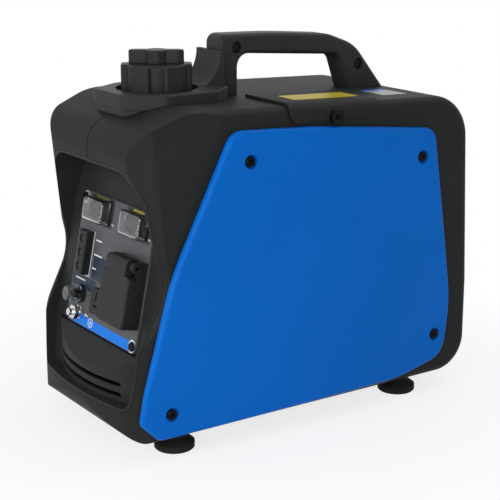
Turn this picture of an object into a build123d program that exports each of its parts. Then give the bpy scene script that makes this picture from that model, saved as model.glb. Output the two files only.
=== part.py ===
from build123d import *
import math
import os

# Portable inverter generator in a moulded suitcase casing.
# X is the width, Y the length with the control panel at -Y, Z is up from the floor.
# Every size is in millimetres.

# Casing, seen from the side
case_length = 362.0
case_width = 180.0
case_wall = 3.0
case_underside = 15.0
case_edge_round = 8.0
chin_top = 60.0
waist_set_back = 40.0
waist_height = 142.0
brow_set_back = 14.0
brow_height = 262.0
crown_set_back = 66.0
crown_height = 282.0
tail_set_back = 8.0
tail_height = 272.0
tail_break_height = 100.0
chin_foot_round = 24.0
chin_top_round = 20.0
waist_round = 50.0
brow_round = 26.0
crown_round = 60.0
tail_round = 40.0
tail_break_round = 150.0
heel_round = 32.0

# Casing, seen from above: the bowed chin and the slanted cheeks
chin_bow_radius = 320.0
chin_corner_round = 30.0
cheek_low_set_back = 37.5
cheek_low_height = 153.0
cheek_high_set_back = 83.0
cheek_high_height = 254.0
cheek_angle = 11.0
crease_low_round = 5.0
crease_high_round = 38.0
crease_high_height = 300.0
crease_overlap = 0.4

# Front opening and the frame that fills it
opening_foot = 40.0
opening_belly = 140.0
opening_head = 237.0
opening_foot_width = 152.0
opening_belly_width = 168.0
opening_head_width = 148.0
opening_head_round = 34.0
opening_foot_round = 14.0
frame_clearance = 0.3
frame_wall = 2.5
frame_floor = 3.0
bib_top = 83.0
bib_shoulder = 64.0
bib_set_back = 7.0
bib_slope = 15.0
bib_bow_radius = 165.0
vent_slot_heights = (57.0, 48.0)
vent_slot_length = 104.0
vent_slot_gap = 3.8

# Control panel: a plate that leans back on the frame's floor
panel_set_back = 35.5
panel_height = 140.5
panel_lean = 11.5
panel_width = 121.0
panel_tall = 115.5
panel_thick = 2.0
panel_corner_round = 5.0
panel_screw_across = 112.0
panel_screw_up = 104.0
cutout_room = 1.0
fit_gap = 0.05
panel_screw_radius = 1.8
panel_screw_head = 4.0
panel_screw_head_tall = 2.4

# Rocker switches under clear boots
engine_switch_at = (-27.0, 45.0)
economy_switch_at = (36.0, 45.0)
switch_flange = (34.0, 21.0, 2.0)
switch_body = (28.0, 15.0, 20.0)
rocker_size = (23.0, 11.0)
rocker_depth = 3.0
rocker_horn = 4.0
rocker_dip = 2.5
rocker_tilt = 10.0
rocker_pin_radius = 1.2
rocker_room = 1.0
boot_height = 9.0
boot_wall = 1.4
boot_round = 4.0

# Mains outlet with a sprung lid on a hinge pin
outlet_at = (38.5, -16.0)
outlet_width = 44.0
outlet_tall = 44.0
outlet_base_depth = 8.0
outlet_lid_depth = 8.0
outlet_lid_wall = 2.0
outlet_lid_gap = 0.3
outlet_round = 4.0
outlet_lid_round = 1.5
hinge_rise = 7.5
hinge_out = 9.5
hinge_barrel_radius = 6.5
hinge_barrel_length = 29.0
hinge_lug_thick = 6.0
hinge_lug_radius = 4.5
hinge_pin_radius = 1.5
receptacle_radius = 16.0
receptacle_depth = 14.0
blade_slot = (1.6, 8.0)
blade_slot_apart = 12.7
earth_hole_radius = 2.4
slot_depth = 9.0

# Lamp bar
lamp_bar_at = (-39.5, 6.0)
lamp_bar_size = (13.0, 38.0, 8.0)
lamp_bar_round = 1.5
lamp_pitch = 12.2
lamp_radius = 3.4
lamp_recess = 3.0
lamp_dome = 2.4

# Direct current socket, its breaker, and the earth terminal
socket_at = (-6.0, -30.0)
socket_flange = (18.0, 22.0, 5.0)
socket_body = (14.0, 18.0, 14.0)
breaker_at = (-40.0, -31.0)
breaker_flange_radius = 8.0
breaker_flange_tall = 4.0
breaker_barrel_radius = 5.8
breaker_barrel_deep = 18.0
breaker_button_radius = 4.0
breaker_button_top = 9.0
breaker_button_deep = 5.5
breaker_boot_radius = 6.8
breaker_boot_top = 16.0
breaker_boot_wall = 1.2
earth_at = (-36.0, -46.5)
earth_stud_radius = 3.0
earth_stud_out = 13.0
earth_hex_across = 11.0
earth_hex_tall = 3.0
earth_nut_at = 5.0
earth_nut_tall = 4.0

# Coloured side covers
cover_depth = 7.0
cover_skin = 3.0
cover_rim = 6.0
cover_rim_round = 3.5
cover_crown_radius = 6000.0
# Corners of the covers: set back from the front end, or from the rear one; height; rounding
cover_foot_corners = ((15.0, 60.0, 80.0), (10.5, 36.0, 8.0), (28.0, 18.5, 10.0))
cover_rear_corners = ((86.0, 21.0, 120.0), (31.0, 33.0, 22.0), (25.0, 85.0, 150.0), (50.0, 247.0, 14.0))
cover_crown_corner = (261.0, 400.0)
cover_head_corners = ((99.0, 265.0, 16.0), (42.0, 153.0, 200.0))
cover_screw_places = ((115.0, 239.0), (297.0, 223.0), (318.0, 56.0), (39.0, 40.0))
cover_screw_radius = 2.2
cover_screw_head = 4.6
cover_screw_head_tall = 2.6
cover_counterbore = 6.0
cover_seat = 2.5
cover_boss_radius = 8.0
case_boss_radius = 5.0
case_boss_deep = 8.0

# Carrying handle, moulded in two halves
handle_width = 24.0
handle_set_back = 140.0
handle_top = 331.0
handle_bow = 6.0
handle_tail_top = 314.0
handle_long = 116.0
handle_knee = 146.0
handle_foot = 187.0
handle_edge_round = 4.0
handle_leg = 19.0
finger_gap_front_top = 314.0
finger_gap_rear_top = 306.0
finger_gap_long = 108.0
finger_gap_rear_slope = 16.0
finger_gap_round = 11.0
handle_screw_radius = 2.2
handle_screw_head = 4.2
handle_counterbore = 5.0
handle_counterbore_deep = 5.0
handle_screw_head_tall = 3.0
handle_screw_front = (17.0, 319.0)
handle_screw_rear = (149.0, 296.0)

# Filler deck on the front of the roof
cap_set_back = 85.0
deck_top = 290.0
deck_band = 12.0
deck_band_step = 2.0
deck_nose_ahead = 47.0
deck_nose_half = 25.0
deck_half = 45.0
deck_shoulder_ahead = 16.0
deck_shoulder_behind = 30.0
deck_tail_half = 24.0
deck_well_radius = 34.5
deck_well_deep = 7.0
deck_neck_room = 1.2
deck_edge_round = 2.0
upstand_top = 318.0
upstand_half = 19.0
upstand_foot = 19.0
upstand_head = 4.0

# Fuel tank and its cap
tank_width = 152.0
tank_set_back = 62.0
tank_length = 111.0
tank_floor = 198.0
tank_roof = 264.0
tank_wall = 3.0
tank_round = 12.0
neck_radius = 22.0
neck_wall = 3.0
neck_top = 300.0
tank_spigot_radius = 5.0
tank_spigot_long = 8.0
tank_spigot_at = (-20.0, 164.0)
shelf_thick = 4.0
shelf_reach = 34.0
shelf_inset = 18.0
cap_lobe_radius = 29.5
cap_radius = 26.5
cap_lobes = 6
cap_lobe_width = 18.0
cap_foot = 286.0
cap_top = 310.0
cap_bore_radius = 24.0
cap_roof = 7.0
cap_edge_round = 1.5
liner_thick = 2.4
liner_gap = 0.3
vent_knob_radius = 10.5
vent_knob_length = 46.0
vent_knob_waist = 12.0
vent_knob_tall = 11.0
vent_knob_pin = 3.0
vent_knob_pin_deep = 4.0
vent_knob_turn = 55.0

# Maintenance cover over the spark plug, on the right shoulder
hatch_front = 156.0
hatch_length = 93.0
hatch_inner = 26.0
hatch_foot = 264.5
hatch_round = 8.0
hatch_thick = 2.2
hatch_gap = 0.3
hatch_hole_across = 32.0
hatch_hole_at = (57.0, 202.0)
hatch_screw_along = 202.0
hatch_screw_height = 267.0
hatch_notch_radius = 4.5
hatch_collar_radius = 4.2
hatch_screw_head = 6.5
hatch_screw_head_tall = 2.6
hatch_screw_deep = 6.0

# Rubber feet
foot_across = 140.0
foot_front = 55.0
foot_rear = 295.0
foot_radius = 17.0
foot_neck_radius = 11.0
foot_pad = 6.0
foot_bevel = 1.2

# Rear wall: cooling louvres and the hole for the tail pipe
louvre_length = 34.0
louvre_gap = 3.8
louvre_pitch = 9.0
louvre_count = 7
louvre_low = 56.0
louvre_middle = 44.0
tail_pipe_room = 2.0

# Engine: crank axis along X, measured from the crankcase flange
crank_set_back = 226.0
crank_height = 90.0
shaft_radius = 12.0
flange_radius = 60.0
flange_thick = 6.0
crankcase_across = 62.0
crankcase_front = 40.0
crankcase_rear = 43.0
crankcase_floor = 36.0
crankcase_roof = 120.0
crankcase_round = 8.0
crank_chamber_radius = 33.0
crank_web_radius = 30.0
crank_web_thick = 7.0
crank_throw = 16.0
crank_pin_radius = 9.0
bearing_radius = 21.0
bearing_width = 12.0
chamber_from = 16.0
chamber_to = 46.0
mount_radius = 9.0
mount_inset = 11.0
barrel_radius = 27.0
barrel_middle = 30.0
fin_side = 58.0
fin_thick = 2.2
fin_pitch = 7.0
fin_count = 6
head_floor = 166.0
head_roof = 188.0
head_size = (64.0, 66.0)
rocker_cover_roof = 206.0
rocker_cover_size = (42.0, 50.0)
rocker_cover_at = (22.0, 0.0)
rocker_cover_round = 6.0
plug_at = (54.0, -24.0)
plug_hex_across = 16.0
plug_hex_tall = 10.0
plug_radius = 5.0
plug_top = 214.0
plug_cap_radius = 9.0
plug_cap_long = 26.0

# Alternator, fan and recoil starter on the left end of the crank
stator_boss_radius = 26.0
stator_boss_long = 8.0
stator_radius = 43.0
stator_yoke_radius = 27.0
stator_hole_radius = 15.0
stator_long = 24.0
stator_teeth = 12
stator_tooth_width = 9.0
rotor_radius = 52.0
rotor_rim = 7.0
rotor_end_wall = 6.0
rotor_gap = 2.0
fan_disc_thick = 4.0
fan_blades = 11
fan_blade_long = 10.0
fan_blade_thick = 2.5
fan_blade_inner = 24.0
shroud_gap = 4.0
shroud_wall = 2.5
shroud_hole_radius = 22.0
recoil_gap = 3.0
recoil_cup_radius = 40.0
recoil_cup_wall = 2.5
recoil_cup_long = 18.0
reel_radius = 30.0
reel_groove_radius = 24.0
reel_width = 10.0
reel_flange = 2.0
reel_post_radius = 7.0
reel_gap = 1.0
reel_nut_radius = 9.0

# Intake, exhaust and power module
port_height = 177.0
carb_gap = 34.0
carb_size = (36.0, 42.0, 34.0)
carb_bowl_radius = 14.0
carb_bowl_deep = 20.0
insulator_long = 8.0
filter_size = (96.0, 70.0, 72.0)
filter_round = 8.0
filter_wall = 2.5
filter_top_gap = 4.0
hose_radius = 3.5
hose_bore = 2.2
hose_bend = 12.0
muffler_size = (104.0, 60.0, 104.0)
muffler_round = 14.0
muffler_wall = 2.0
exhaust_radius = 10.0
exhaust_flange = (34.0, 4.0, 30.0)
exhaust_long = 26.0
tail_pipe_radius = 9.0
tail_pipe_wall = 1.6
tail_pipe_height = 168.0
tail_pipe_proud = 2.0
module_size = (140.0, 70.0, 42.0)
module_set_back = 53.0
module_fins = 9
module_fin_tall = 10.0
module_fin_thick = 3.0

# Left side: recoil grip in its dish, and the choke knob
grip_set_back = 156.0
grip_height = 135.0
dish_long = 62.0
dish_tall = 30.0
dish_deep = 16.0
dish_wall = 2.5
dish_round = 10.0
dish_margin = 2.0
grip_long = 50.0
grip_tall = 15.0
grip_thick = 14.0
grip_round = 5.0
grip_stem_radius = 5.0
grip_proud = 4.5
rope_hole_radius = 2.5
choke_set_back = 83.0
choke_height = 135.0
choke_radius = 15.0
choke_skirt = 2.5
choke_bar = (27.0, 8.0)
choke_proud = 6.0
choke_stem_radius = 4.0
choke_stem_long = 10.0
choke_room = 2.5

# Places that follow from the sizes above
front = -case_length / 2
rear = case_length / 2
side = case_width / 2
cap_y = front + cap_set_back
panel_y = front + panel_set_back
far = case_length + crown_height
floor_inside = case_underside + case_wall
panel_frame = Plane(
    origin=(0, panel_y, panel_height),
    x_dir=(1, 0, 0),
    z_dir=(0, -math.cos(math.radians(panel_lean)), math.sin(math.radians(panel_lean))),
).location


def block(x, y, z):
    """A box between a low and a high value along each axis."""
    spans = (x, y, z)
    middle = [(low + high) / 2 for low, high in spans]
    return Pos(*middle) * Box(*[high - low for low, high in spans])


def around(middle, size):
    """A low and a high value on either side of a middle."""
    return middle - size / 2, middle + size / 2


def rod_x(radius, x, y, z):
    return Pos((x[0] + x[1]) / 2, y, z) * Rot(0, 90, 0) * Cylinder(radius, x[1] - x[0])


def rod_y(radius, x, y, z):
    return Pos(x, (y[0] + y[1]) / 2, z) * Rot(90, 0, 0) * Cylinder(radius, y[1] - y[0])


def rod_z(radius, x, y, z):
    return Pos(x, y, (z[0] + z[1]) / 2) * Cylinder(radius, z[1] - z[0])


def plate_z(sketch, z):
    """A flat outline in X and Y, raised between two heights."""
    return extrude(Pos(0, 0, z[0]) * sketch, amount=z[1] - z[0], dir=(0, 0, 1))


def plate_x(sketch, x):
    """A flat outline in Y and Z, carried between two places along X."""
    return extrude(Plane.YZ.offset(x[0]) * sketch, amount=x[1] - x[0], dir=(1, 0, 0))


def plate_y(sketch, y):
    """A flat outline in X and Z, carried between two places along Y."""
    return extrude(Plane.XZ.offset(-y[0]) * sketch, amount=y[1] - y[0], dir=(0, 1, 0))


def rounded_outline(corners):
    """A closed outline through corners of the form (across, up, round)."""
    points = [corner[:2] for corner in corners]
    return make_face(FilletPolyline(*points, radius=[corner[2] for corner in corners], close=True))


def resized(sketch, grow):
    return offset(sketch, amount=grow) if grow else sketch


def other_side(solid):
    return mirror(solid, about=Plane.YZ)


# Casing


def case_outline():
    return rounded_outline(
        [
            (front, case_underside, chin_foot_round),
            (front, chin_top, chin_top_round),
            (front + waist_set_back, waist_height, waist_round),
            (front + brow_set_back, brow_height, brow_round),
            (front + crown_set_back, crown_height, crown_round),
            (rear - tail_set_back, tail_height, tail_round),
            (rear, tail_break_height, tail_break_round),
            (rear, case_underside, heel_round),
        ]
    )


def cheek_plane(grow):
    """The slanted cheek on the right of the control panel."""
    low = Vector(side, front + cheek_low_set_back, cheek_low_height)
    high = Vector(side, front + cheek_high_set_back, cheek_high_height)
    along = (high - low).normalized()
    ahead = Vector(0, -along.Z, along.Y)
    angle = math.radians(cheek_angle)
    outward = Vector(1, 0, 0) * math.cos(angle) + ahead * math.sin(angle)
    return Plane(origin=low + outward * grow, x_dir=along, z_dir=outward)


def cheek_cutter(grow):
    return cheek_plane(grow).location * Pos(0, 0, far / 2) * Box(far, far, far)


def brow_plane(grow):
    """The sloping face between the waist and the brow."""
    low = Vector(0, front + waist_set_back, waist_height)
    high = Vector(0, front + brow_set_back, brow_height)
    up = (high - low).normalized()
    outward = Vector(0, -up.Z, up.Y)
    return Plane(origin=low + outward * grow, x_dir=up, z_dir=outward)


def crease_point(brow, cheek, height):
    """Where the brow's face and the cheek meet at a height."""
    place = brow.origin.Y + (height - brow.origin.Z) * brow.x_dir.Y / brow.x_dir.Z
    turn = cheek.z_dir.Y * (place - cheek.origin.Y) + cheek.z_dir.Z * (height - cheek.origin.Z)
    return Vector(cheek.origin.X - turn / cheek.z_dir.X, place, height)


def crease_cutter(grow):
    """What lies outside a rounding of the crease that opens from the waist to the brow."""
    brow, cheek = brow_plane(grow), cheek_plane(grow)
    along = brow.z_dir.cross(cheek.z_dir).normalized()
    to_middle = brow.z_dir.cross(along)
    to_rear = along.cross(cheek.z_dir)
    inward = (to_middle + to_rear).normalized()
    half_angle = math.radians(to_middle.get_angle(to_rear) / 2)
    sections = []
    for height, radius in ((cheek_low_height, crease_low_round), (crease_high_height, crease_high_round)):
        corner = crease_point(brow, cheek, height) - inward * crease_overlap
        reach = (radius + grow) / math.tan(half_angle)
        depth = (radius + grow) * (1 / math.sin(half_angle) - 1)
        ends = corner + to_middle * reach, corner + to_rear * reach
        outside = corner - inward * case_edge_round
        arc = ThreePointArc(ends[0], corner + inward * depth, ends[1])
        sections.append(make_face([Line(outside, ends[0]), arc, Line(ends[1], outside)]))
    return loft(sections)


def chin_cutter(grow):
    """Everything outside the bowed chin, seen from above."""
    bow = chin_bow_radius - math.sqrt(chin_bow_radius**2 - side**2)
    edge = front + bow
    plan = make_face(
        [
            ThreePointArc((-side, edge), (0, front), (side, edge)),
            Line((side, edge), (side, 0)),
            Line((side, 0), (-side, 0)),
            Line((-side, 0), (-side, edge)),
        ]
    )
    plan = fillet(plan.vertices().sort_by(Axis.Y)[:2], chin_corner_round)
    room = block((-far, far), (front - case_length, front / 2), (0, far))
    return room - plate_z(resized(plan, grow), (0, far))


def case_body(grow):
    """The casing's outer form, or the same form grown or shrunk by a wall."""
    half = side + grow
    body = plate_x(resized(case_outline(), grow), (-half, half))
    rim = body.edges().filter_by(lambda edge: abs(abs(edge.center().X) - half) < fit_gap)
    body = fillet(rim, case_edge_round + grow)
    for cutter in (cheek_cutter(grow), crease_cutter(grow)):
        body -= [cutter, other_side(cutter)]
    return body - chin_cutter(grow)


def opening_outline(inset):
    """The front opening, bellied at the sides and arched at the top."""
    foot, belly, head = opening_foot_width / 2, opening_belly_width / 2, opening_head_width / 2
    outline = make_face(
        [
            Line((-foot, opening_foot), (foot, opening_foot)),
            ThreePointArc((foot, opening_foot), (belly, opening_belly), (head, opening_head)),
            Line((head, opening_head), (-head, opening_head)),
            ThreePointArc((-head, opening_head), (-belly, opening_belly), (-foot, opening_foot)),
        ]
    )
    corners = outline.vertices().sort_by(Axis.Y)
    outline = fillet(corners[2:], opening_head_round)
    corners = outline.vertices().sort_by(Axis.Y)
    outline = fillet(corners[:2], opening_foot_round)
    return resized(outline, -inset)


case_form = case_body(0)
opening_reach = (front - case_wall, panel_y + opening_foot)


def on_panel(solid):
    """Places a piece that was drawn on the control panel: across, up, out."""
    return panel_frame * solid


def louvres():
    slot = SlotOverall(louvre_length, louvre_gap)
    cut = [
        plate_y(Pos(louvre_middle, louvre_low + step * louvre_pitch) * slot, (rear / 2, rear + case_wall))
        for step in range(louvre_count)
    ]
    return cut


def tank_shelf():
    reach = (side - case_wall - shelf_reach, side - case_wall / 2)
    along = (front + tank_set_back + shelf_inset, front + tank_set_back + tank_length - shelf_inset)
    return block(reach, along, (tank_floor - shelf_thick, tank_floor))


def casing_half():
    """The right half of the shell, with what both halves share."""
    shell = case_form - case_body(-case_wall)
    shell -= plate_y(opening_outline(0), opening_reach)
    neck_hole = neck_radius + deck_neck_room
    shell -= rod_z(neck_hole, 0, cap_y, (tank_roof, deck_top))
    half = shell & block((0, far), (-far, far), (0, far))
    half += tank_shelf()
    inside = side - case_wall
    for along, height in cover_screw_places:
        half += rod_x(case_boss_radius, (inside - case_boss_deep, inside), front + along, height)
        hole = (inside - case_boss_deep, side)
        half -= rod_x(cover_screw_radius + fit_gap, hole, front + along, height)
    for slot in louvres():
        half -= slot
    return half


casing = casing_half()


def right_casing():
    half = casing
    across, along = hatch_hole_at
    half -= plate_z(
        Pos(across, front + along) * RectangleRounded(hatch_hole_across, hatch_hole_across, hatch_round),
        (hatch_foot, far),
    )
    half -= rod_x(
        cover_screw_radius + fit_gap, (side - 2 * case_wall, side), front + hatch_screw_along, hatch_screw_height
    )
    hole = tail_pipe_radius + tail_pipe_room
    return half - rod_y(hole, tail_pipe_x, (rear / 2, rear), tail_pipe_height)


def grip_dish(grow, deep):
    size = RectangleRounded(dish_long + 2 * grow, dish_tall + 2 * grow, dish_round)
    return plate_x(Pos(front + grip_set_back, grip_height) * size, (deep - side, 0 - side))


def left_casing():
    half = other_side(casing)
    half += grip_dish(dish_wall, dish_deep + dish_wall)
    half -= grip_dish(0, dish_deep)
    half -= plate_x(
        Pos(front + grip_set_back, grip_height) * Circle(rope_hole_radius),
        (-side, dish_deep + 2 * dish_wall - side),
    )
    stem = choke_stem_radius + fit_gap
    return half - rod_x(stem, (-side, 2 * case_wall - side), front + choke_set_back, choke_height)


# Front frame with the vented bib


def bib():
    bib_front = front + bib_set_back
    profile = make_face(
        Polyline(
            (panel_y, bib_top),
            (bib_front + bib_slope, bib_top),
            (bib_front, bib_shoulder),
            (bib_front, 0),
            (panel_y, 0),
            close=True,
        )
    )
    bow = Pos(0, bib_front + bib_bow_radius, far / 2) * Cylinder(bib_bow_radius, far)
    return plate_x(profile, (-side, side)) & bow


def front_frame():
    floor = on_panel(Pos(0, 0, -panel_thick - far / 2) * Box(far, far, far))
    behind = floor + bib()
    plug = plate_y(opening_outline(frame_clearance), opening_reach) & case_form
    skin = (plug & behind) - Pos(0, frame_floor, 0) * behind
    ring = plug - plate_y(opening_outline(frame_clearance + frame_wall), opening_reach)
    back = on_panel(Pos(0, 0, -panel_thick - frame_floor - far / 2) * Box(far, far, far))
    frame = skin + (ring - back)
    for height in vent_slot_heights:
        slot = Pos(0, height) * SlotOverall(vent_slot_length, vent_slot_gap)
        frame -= plate_y(slot, (front, panel_y))
    return frame - on_panel(panel_cutouts(cutout_room))


# Control panel and the pieces on it


def panel_screw_spots():
    across, up = panel_screw_across / 2, panel_screw_up / 2
    return (-across, up), (across, -up)


def panel_cutouts(room):
    """Holes for what passes through the panel, with some room around each."""
    deep = (-far / 20, panel_thick)
    switch = Rectangle(switch_body[0] + 2 * room, switch_body[1] + 2 * room)
    holes = [Pos(*spot) * switch for spot in (engine_switch_at, economy_switch_at)]
    holes.append(Pos(*outlet_at) * Circle(receptacle_radius + room))
    holes.append(Pos(*socket_at) * Rectangle(socket_body[0] + 2 * room, socket_body[1] + 2 * room))
    holes.append(Pos(*breaker_at) * Circle(breaker_barrel_radius + room))
    holes.append(Pos(*earth_at) * Circle(earth_stud_radius + room))
    cut = [plate_z(hole, deep) for hole in holes]
    cut += [plate_z(Pos(*spot) * Circle(panel_screw_radius + fit_gap), deep) for spot in panel_screw_spots()]
    return Part() + cut


def control_panel():
    plate = plate_z(RectangleRounded(panel_width, panel_tall, panel_corner_round), (-panel_thick, 0))
    return on_panel(plate - panel_cutouts(fit_gap))


def control_panel_screws():
    screws = []
    for across, up in panel_screw_spots():
        deep = panel_thick + frame_floor + panel_thick
        screw = rod_z(panel_screw_head, across, up, (0, panel_screw_head_tall))
        screw = fillet(screw.edges().group_by(Axis.Z)[-1], panel_screw_head_tall / 2)
        screw += rod_z(panel_screw_radius, across, up, (-deep, 0))
        screws.append(on_panel(screw))
    return Compound(children=screws)


def rocker_switch_body(spot):
    wide, tall, thick = switch_flange
    body = plate_z(RectangleRounded(wide, tall, thick), (0, thick))
    body += block(around(0, switch_body[0]), around(0, switch_body[1]), (-switch_body[2], 0))
    well = [size + 2 * rocker_room for size in rocker_size]
    body -= block(around(0, well[0]), around(0, well[1]), (-rocker_depth - 5 * rocker_room, thick))
    pin = rocker_pin_radius + fit_gap
    body -= rod_y(pin, 0, around(0, rocker_pin_length() + 2 * fit_gap), 0)
    return on_panel(Pos(*spot) * body)


def rocker_pin_length():
    return rocker_size[1] + 4 * rocker_room - 4 * fit_gap


def rocker(spot):
    half = rocker_size[0] / 2
    profile = make_face(
        Polyline(
            (-half, -rocker_depth),
            (half, -rocker_depth),
            (half, rocker_horn),
            (0, rocker_dip),
            (-half, rocker_horn),
            close=True,
        )
    )
    key = plate_y(profile, around(0, rocker_size[1])) + rod_y(rocker_pin_radius, 0, around(0, rocker_pin_length()), 0)
    return on_panel(Pos(*spot) * Rot(0, rocker_tilt, 0) * key)


def rocker_boot(spot):
    wide, tall, thick = switch_flange
    foot = thick
    outer = plate_z(RectangleRounded(wide, tall, boot_round), (foot, foot + boot_height))
    outer = fillet(outer.edges().group_by(Axis.Z)[-1], boot_round - boot_wall / 2)
    inner_plan = RectangleRounded(wide - 2 * boot_wall, tall - 2 * boot_wall, boot_round - boot_wall)
    inner = plate_z(inner_plan, (foot, foot + boot_height - boot_wall))
    inner = fillet(inner.edges().group_by(Axis.Z)[-1], boot_round - 1.5 * boot_wall)
    return on_panel(Pos(*spot) * (outer - inner))


def hinge_axis():
    """Up and out of the outlet's hinge pin, from the outlet's own middle."""
    return outlet_tall / 2 + hinge_rise, hinge_out


def ac_outlet_base():
    up, out = hinge_axis()
    base = plate_z(RectangleRounded(outlet_width, outlet_tall, outlet_round), (0, outlet_base_depth))
    for hand in (-1, 1):
        middle = hand * (outlet_width - hinge_lug_thick) / 2
        reach = around(middle, hinge_lug_thick)
        base += block(reach, (0, up + hinge_lug_radius), (0, outlet_base_depth))
        base += rod_x(hinge_lug_radius, reach, up, out)
    base -= rod_x(hinge_pin_radius + fit_gap, around(0, outlet_width), up, out)
    base -= rod_z(receptacle_radius + fit_gap, 0, 0, (0, outlet_base_depth))
    return on_panel(Pos(*outlet_at) * base)


def ac_lid_pin():
    up, out = hinge_axis()
    return on_panel(Pos(*outlet_at) * rod_x(hinge_pin_radius, around(0, outlet_width), up, out))


def ac_receptacle():
    face = rod_z(receptacle_radius, 0, 0, (-receptacle_depth, outlet_base_depth))
    deep = (outlet_base_depth - slot_depth, outlet_base_depth)
    for hand in (-1, 1):
        blade = Pos(hand * blade_slot_apart / 2, blade_slot[1] / 2) * Rectangle(*blade_slot)
        face -= plate_z(blade, deep)
    face -= rod_z(earth_hole_radius, 0, -blade_slot[1], deep)
    return on_panel(Pos(*outlet_at) * face)


def ac_outlet_lid():
    up, out = hinge_axis()
    foot = outlet_base_depth + outlet_lid_gap
    roof = foot + outlet_lid_depth
    lid = plate_z(RectangleRounded(outlet_width, outlet_tall, outlet_round), (foot, roof))
    lid = fillet(lid.edges().group_by(Axis.Z)[-1], outlet_lid_round)
    inner = (outlet_width - 2 * outlet_lid_wall, outlet_tall - 2 * outlet_lid_wall)
    lid -= plate_z(RectangleRounded(*inner, outlet_round - outlet_lid_wall), (foot, roof - outlet_lid_wall))
    barrel = around(0, hinge_barrel_length)
    lid += rod_x(hinge_barrel_radius, barrel, up, out)
    lid += block(barrel, (outlet_tall / 2 - outlet_lid_wall, up), (out, out + hinge_barrel_radius))
    lid -= rod_x(hinge_pin_radius + fit_gap, barrel, up, out)
    return on_panel(Pos(*outlet_at) * lid)


def lamp_spots():
    return [(0, step * lamp_pitch) for step in (-1, 0, 1)]


def lamp_bar():
    wide, tall, thick = lamp_bar_size
    bar = block(around(0, wide), around(0, tall), (0, thick))
    bar = fillet(bar.edges().group_by(Axis.Z)[-1], lamp_bar_round)
    for across, up in lamp_spots():
        bar -= rod_z(lamp_radius + fit_gap, across, up, (thick - lamp_recess, thick))
    return on_panel(Pos(*lamp_bar_at) * bar)


def lamp_lenses():
    floor = lamp_bar_size[2] - lamp_recess
    lenses = []
    for across, up in lamp_spots():
        lens = rod_z(lamp_radius, across, up, (floor, floor + lamp_dome))
        lens = fillet(lens.edges().group_by(Axis.Z)[-1], lamp_dome / 2)
        lenses.append(on_panel(Pos(*lamp_bar_at) * lens))
    return Compound(children=lenses)


def dc_socket():
    wide, tall, thick = socket_flange
    body = plate_z(RectangleRounded(wide, tall, thick / 2), (0, thick))
    body += block(around(0, socket_body[0]), around(0, socket_body[1]), (-socket_body[2], 0))
    deep = (thick - slot_depth, thick)
    body -= plate_z(Pos(0, blade_slot[1] / 2) * Rectangle(*blade_slot), deep)
    body -= plate_z(Pos(0, -blade_slot[1] / 2) * Rot(0, 0, 90) * Rectangle(*blade_slot), deep)
    return on_panel(Pos(*socket_at) * body)


def dc_breaker_body():
    body = rod_z(breaker_flange_radius, 0, 0, (0, breaker_flange_tall))
    body += rod_z(breaker_barrel_radius, 0, 0, (-breaker_barrel_deep, 0))
    body -= rod_z(breaker_button_radius + fit_gap, 0, 0, (-breaker_button_deep, breaker_flange_tall))
    return on_panel(Pos(*breaker_at) * body)


def dc_breaker_button():
    button = rod_z(breaker_button_radius, 0, 0, (-breaker_button_deep, breaker_button_top))
    button = fillet(button.edges().group_by(Axis.Z)[-1], breaker_boot_wall)
    return on_panel(Pos(*breaker_at) * button)


def dc_breaker_boot():
    foot = breaker_flange_tall
    boot = rod_z(breaker_boot_radius, 0, 0, (foot, breaker_boot_top))
    boot = fillet(boot.edges().group_by(Axis.Z)[-1], 2 * breaker_boot_wall)
    boot += rod_z(breaker_flange_radius, 0, 0, (foot, foot + breaker_boot_wall))
    inner = breaker_boot_radius - breaker_boot_wall
    boot -= rod_z(inner, 0, 0, (foot, breaker_boot_top - breaker_boot_wall))
    return on_panel(Pos(*breaker_at) * boot)


def hexagon(across):
    return RegularPolygon(across / 2, 6, major_radius=False)


def ground_terminal():
    deep = panel_thick + frame_floor
    stud = rod_z(earth_stud_radius, 0, 0, (-deep, earth_stud_out))
    return on_panel(Pos(*earth_at) * (stud + plate_z(hexagon(earth_hex_across), (0, earth_hex_tall))))


def ground_nut():
    nut = plate_z(hexagon(earth_hex_across), (earth_nut_at, earth_nut_at + earth_nut_tall))
    nut -= rod_z(earth_stud_radius + fit_gap, 0, 0, (0, earth_stud_out))
    return on_panel(Pos(*earth_at) * nut)


# Side covers


def cover_outline():
    corners = [(front + along, height, corner) for along, height, corner in cover_foot_corners]
    corners += [(rear - along, height, corner) for along, height, corner in cover_rear_corners]
    corners.append((0, *cover_crown_corner))
    corners += [(front + along, height, corner) for along, height, corner in cover_head_corners]
    return rounded_outline(corners)


def cover_shell():
    """The right cover: a crowned skin with a turned rim and a boss at each screw."""
    outline = cover_outline()
    blank = plate_x(outline, (side, side + cover_depth))
    middle = (brow_height + case_underside) / 2
    blank &= Pos(side + cover_depth - cover_crown_radius, 0, middle) * Sphere(cover_crown_radius)
    blank = fillet(blank.faces().sort_by(Axis.X)[-1].edges(), cover_rim_round)
    hollow = plate_x(resized(outline, -cover_rim), (side, side + cover_depth - cover_skin - 1))
    for along, height in cover_screw_places:
        hollow -= rod_x(cover_boss_radius, (side, side + cover_depth), front + along, height)
    cover = blank - hollow
    for along, height in cover_screw_places:
        cover -= rod_x(cover_counterbore, (side + cover_seat, side + cover_depth), front + along, height)
        cover -= rod_x(cover_screw_radius + fit_gap, (side, side + cover_seat), front + along, height)
    return cover


right_cover = cover_shell()


def left_cover():
    cover = other_side(right_cover)
    window = RectangleRounded(dish_long + 2 * dish_margin, dish_tall + 2 * dish_margin, dish_round + dish_margin)
    through = (-side - cover_depth, -side)
    cover -= plate_x(Pos(front + grip_set_back, grip_height) * window, through)
    return cover - rod_x(choke_radius + choke_room, through, front + choke_set_back, choke_height)


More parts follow.
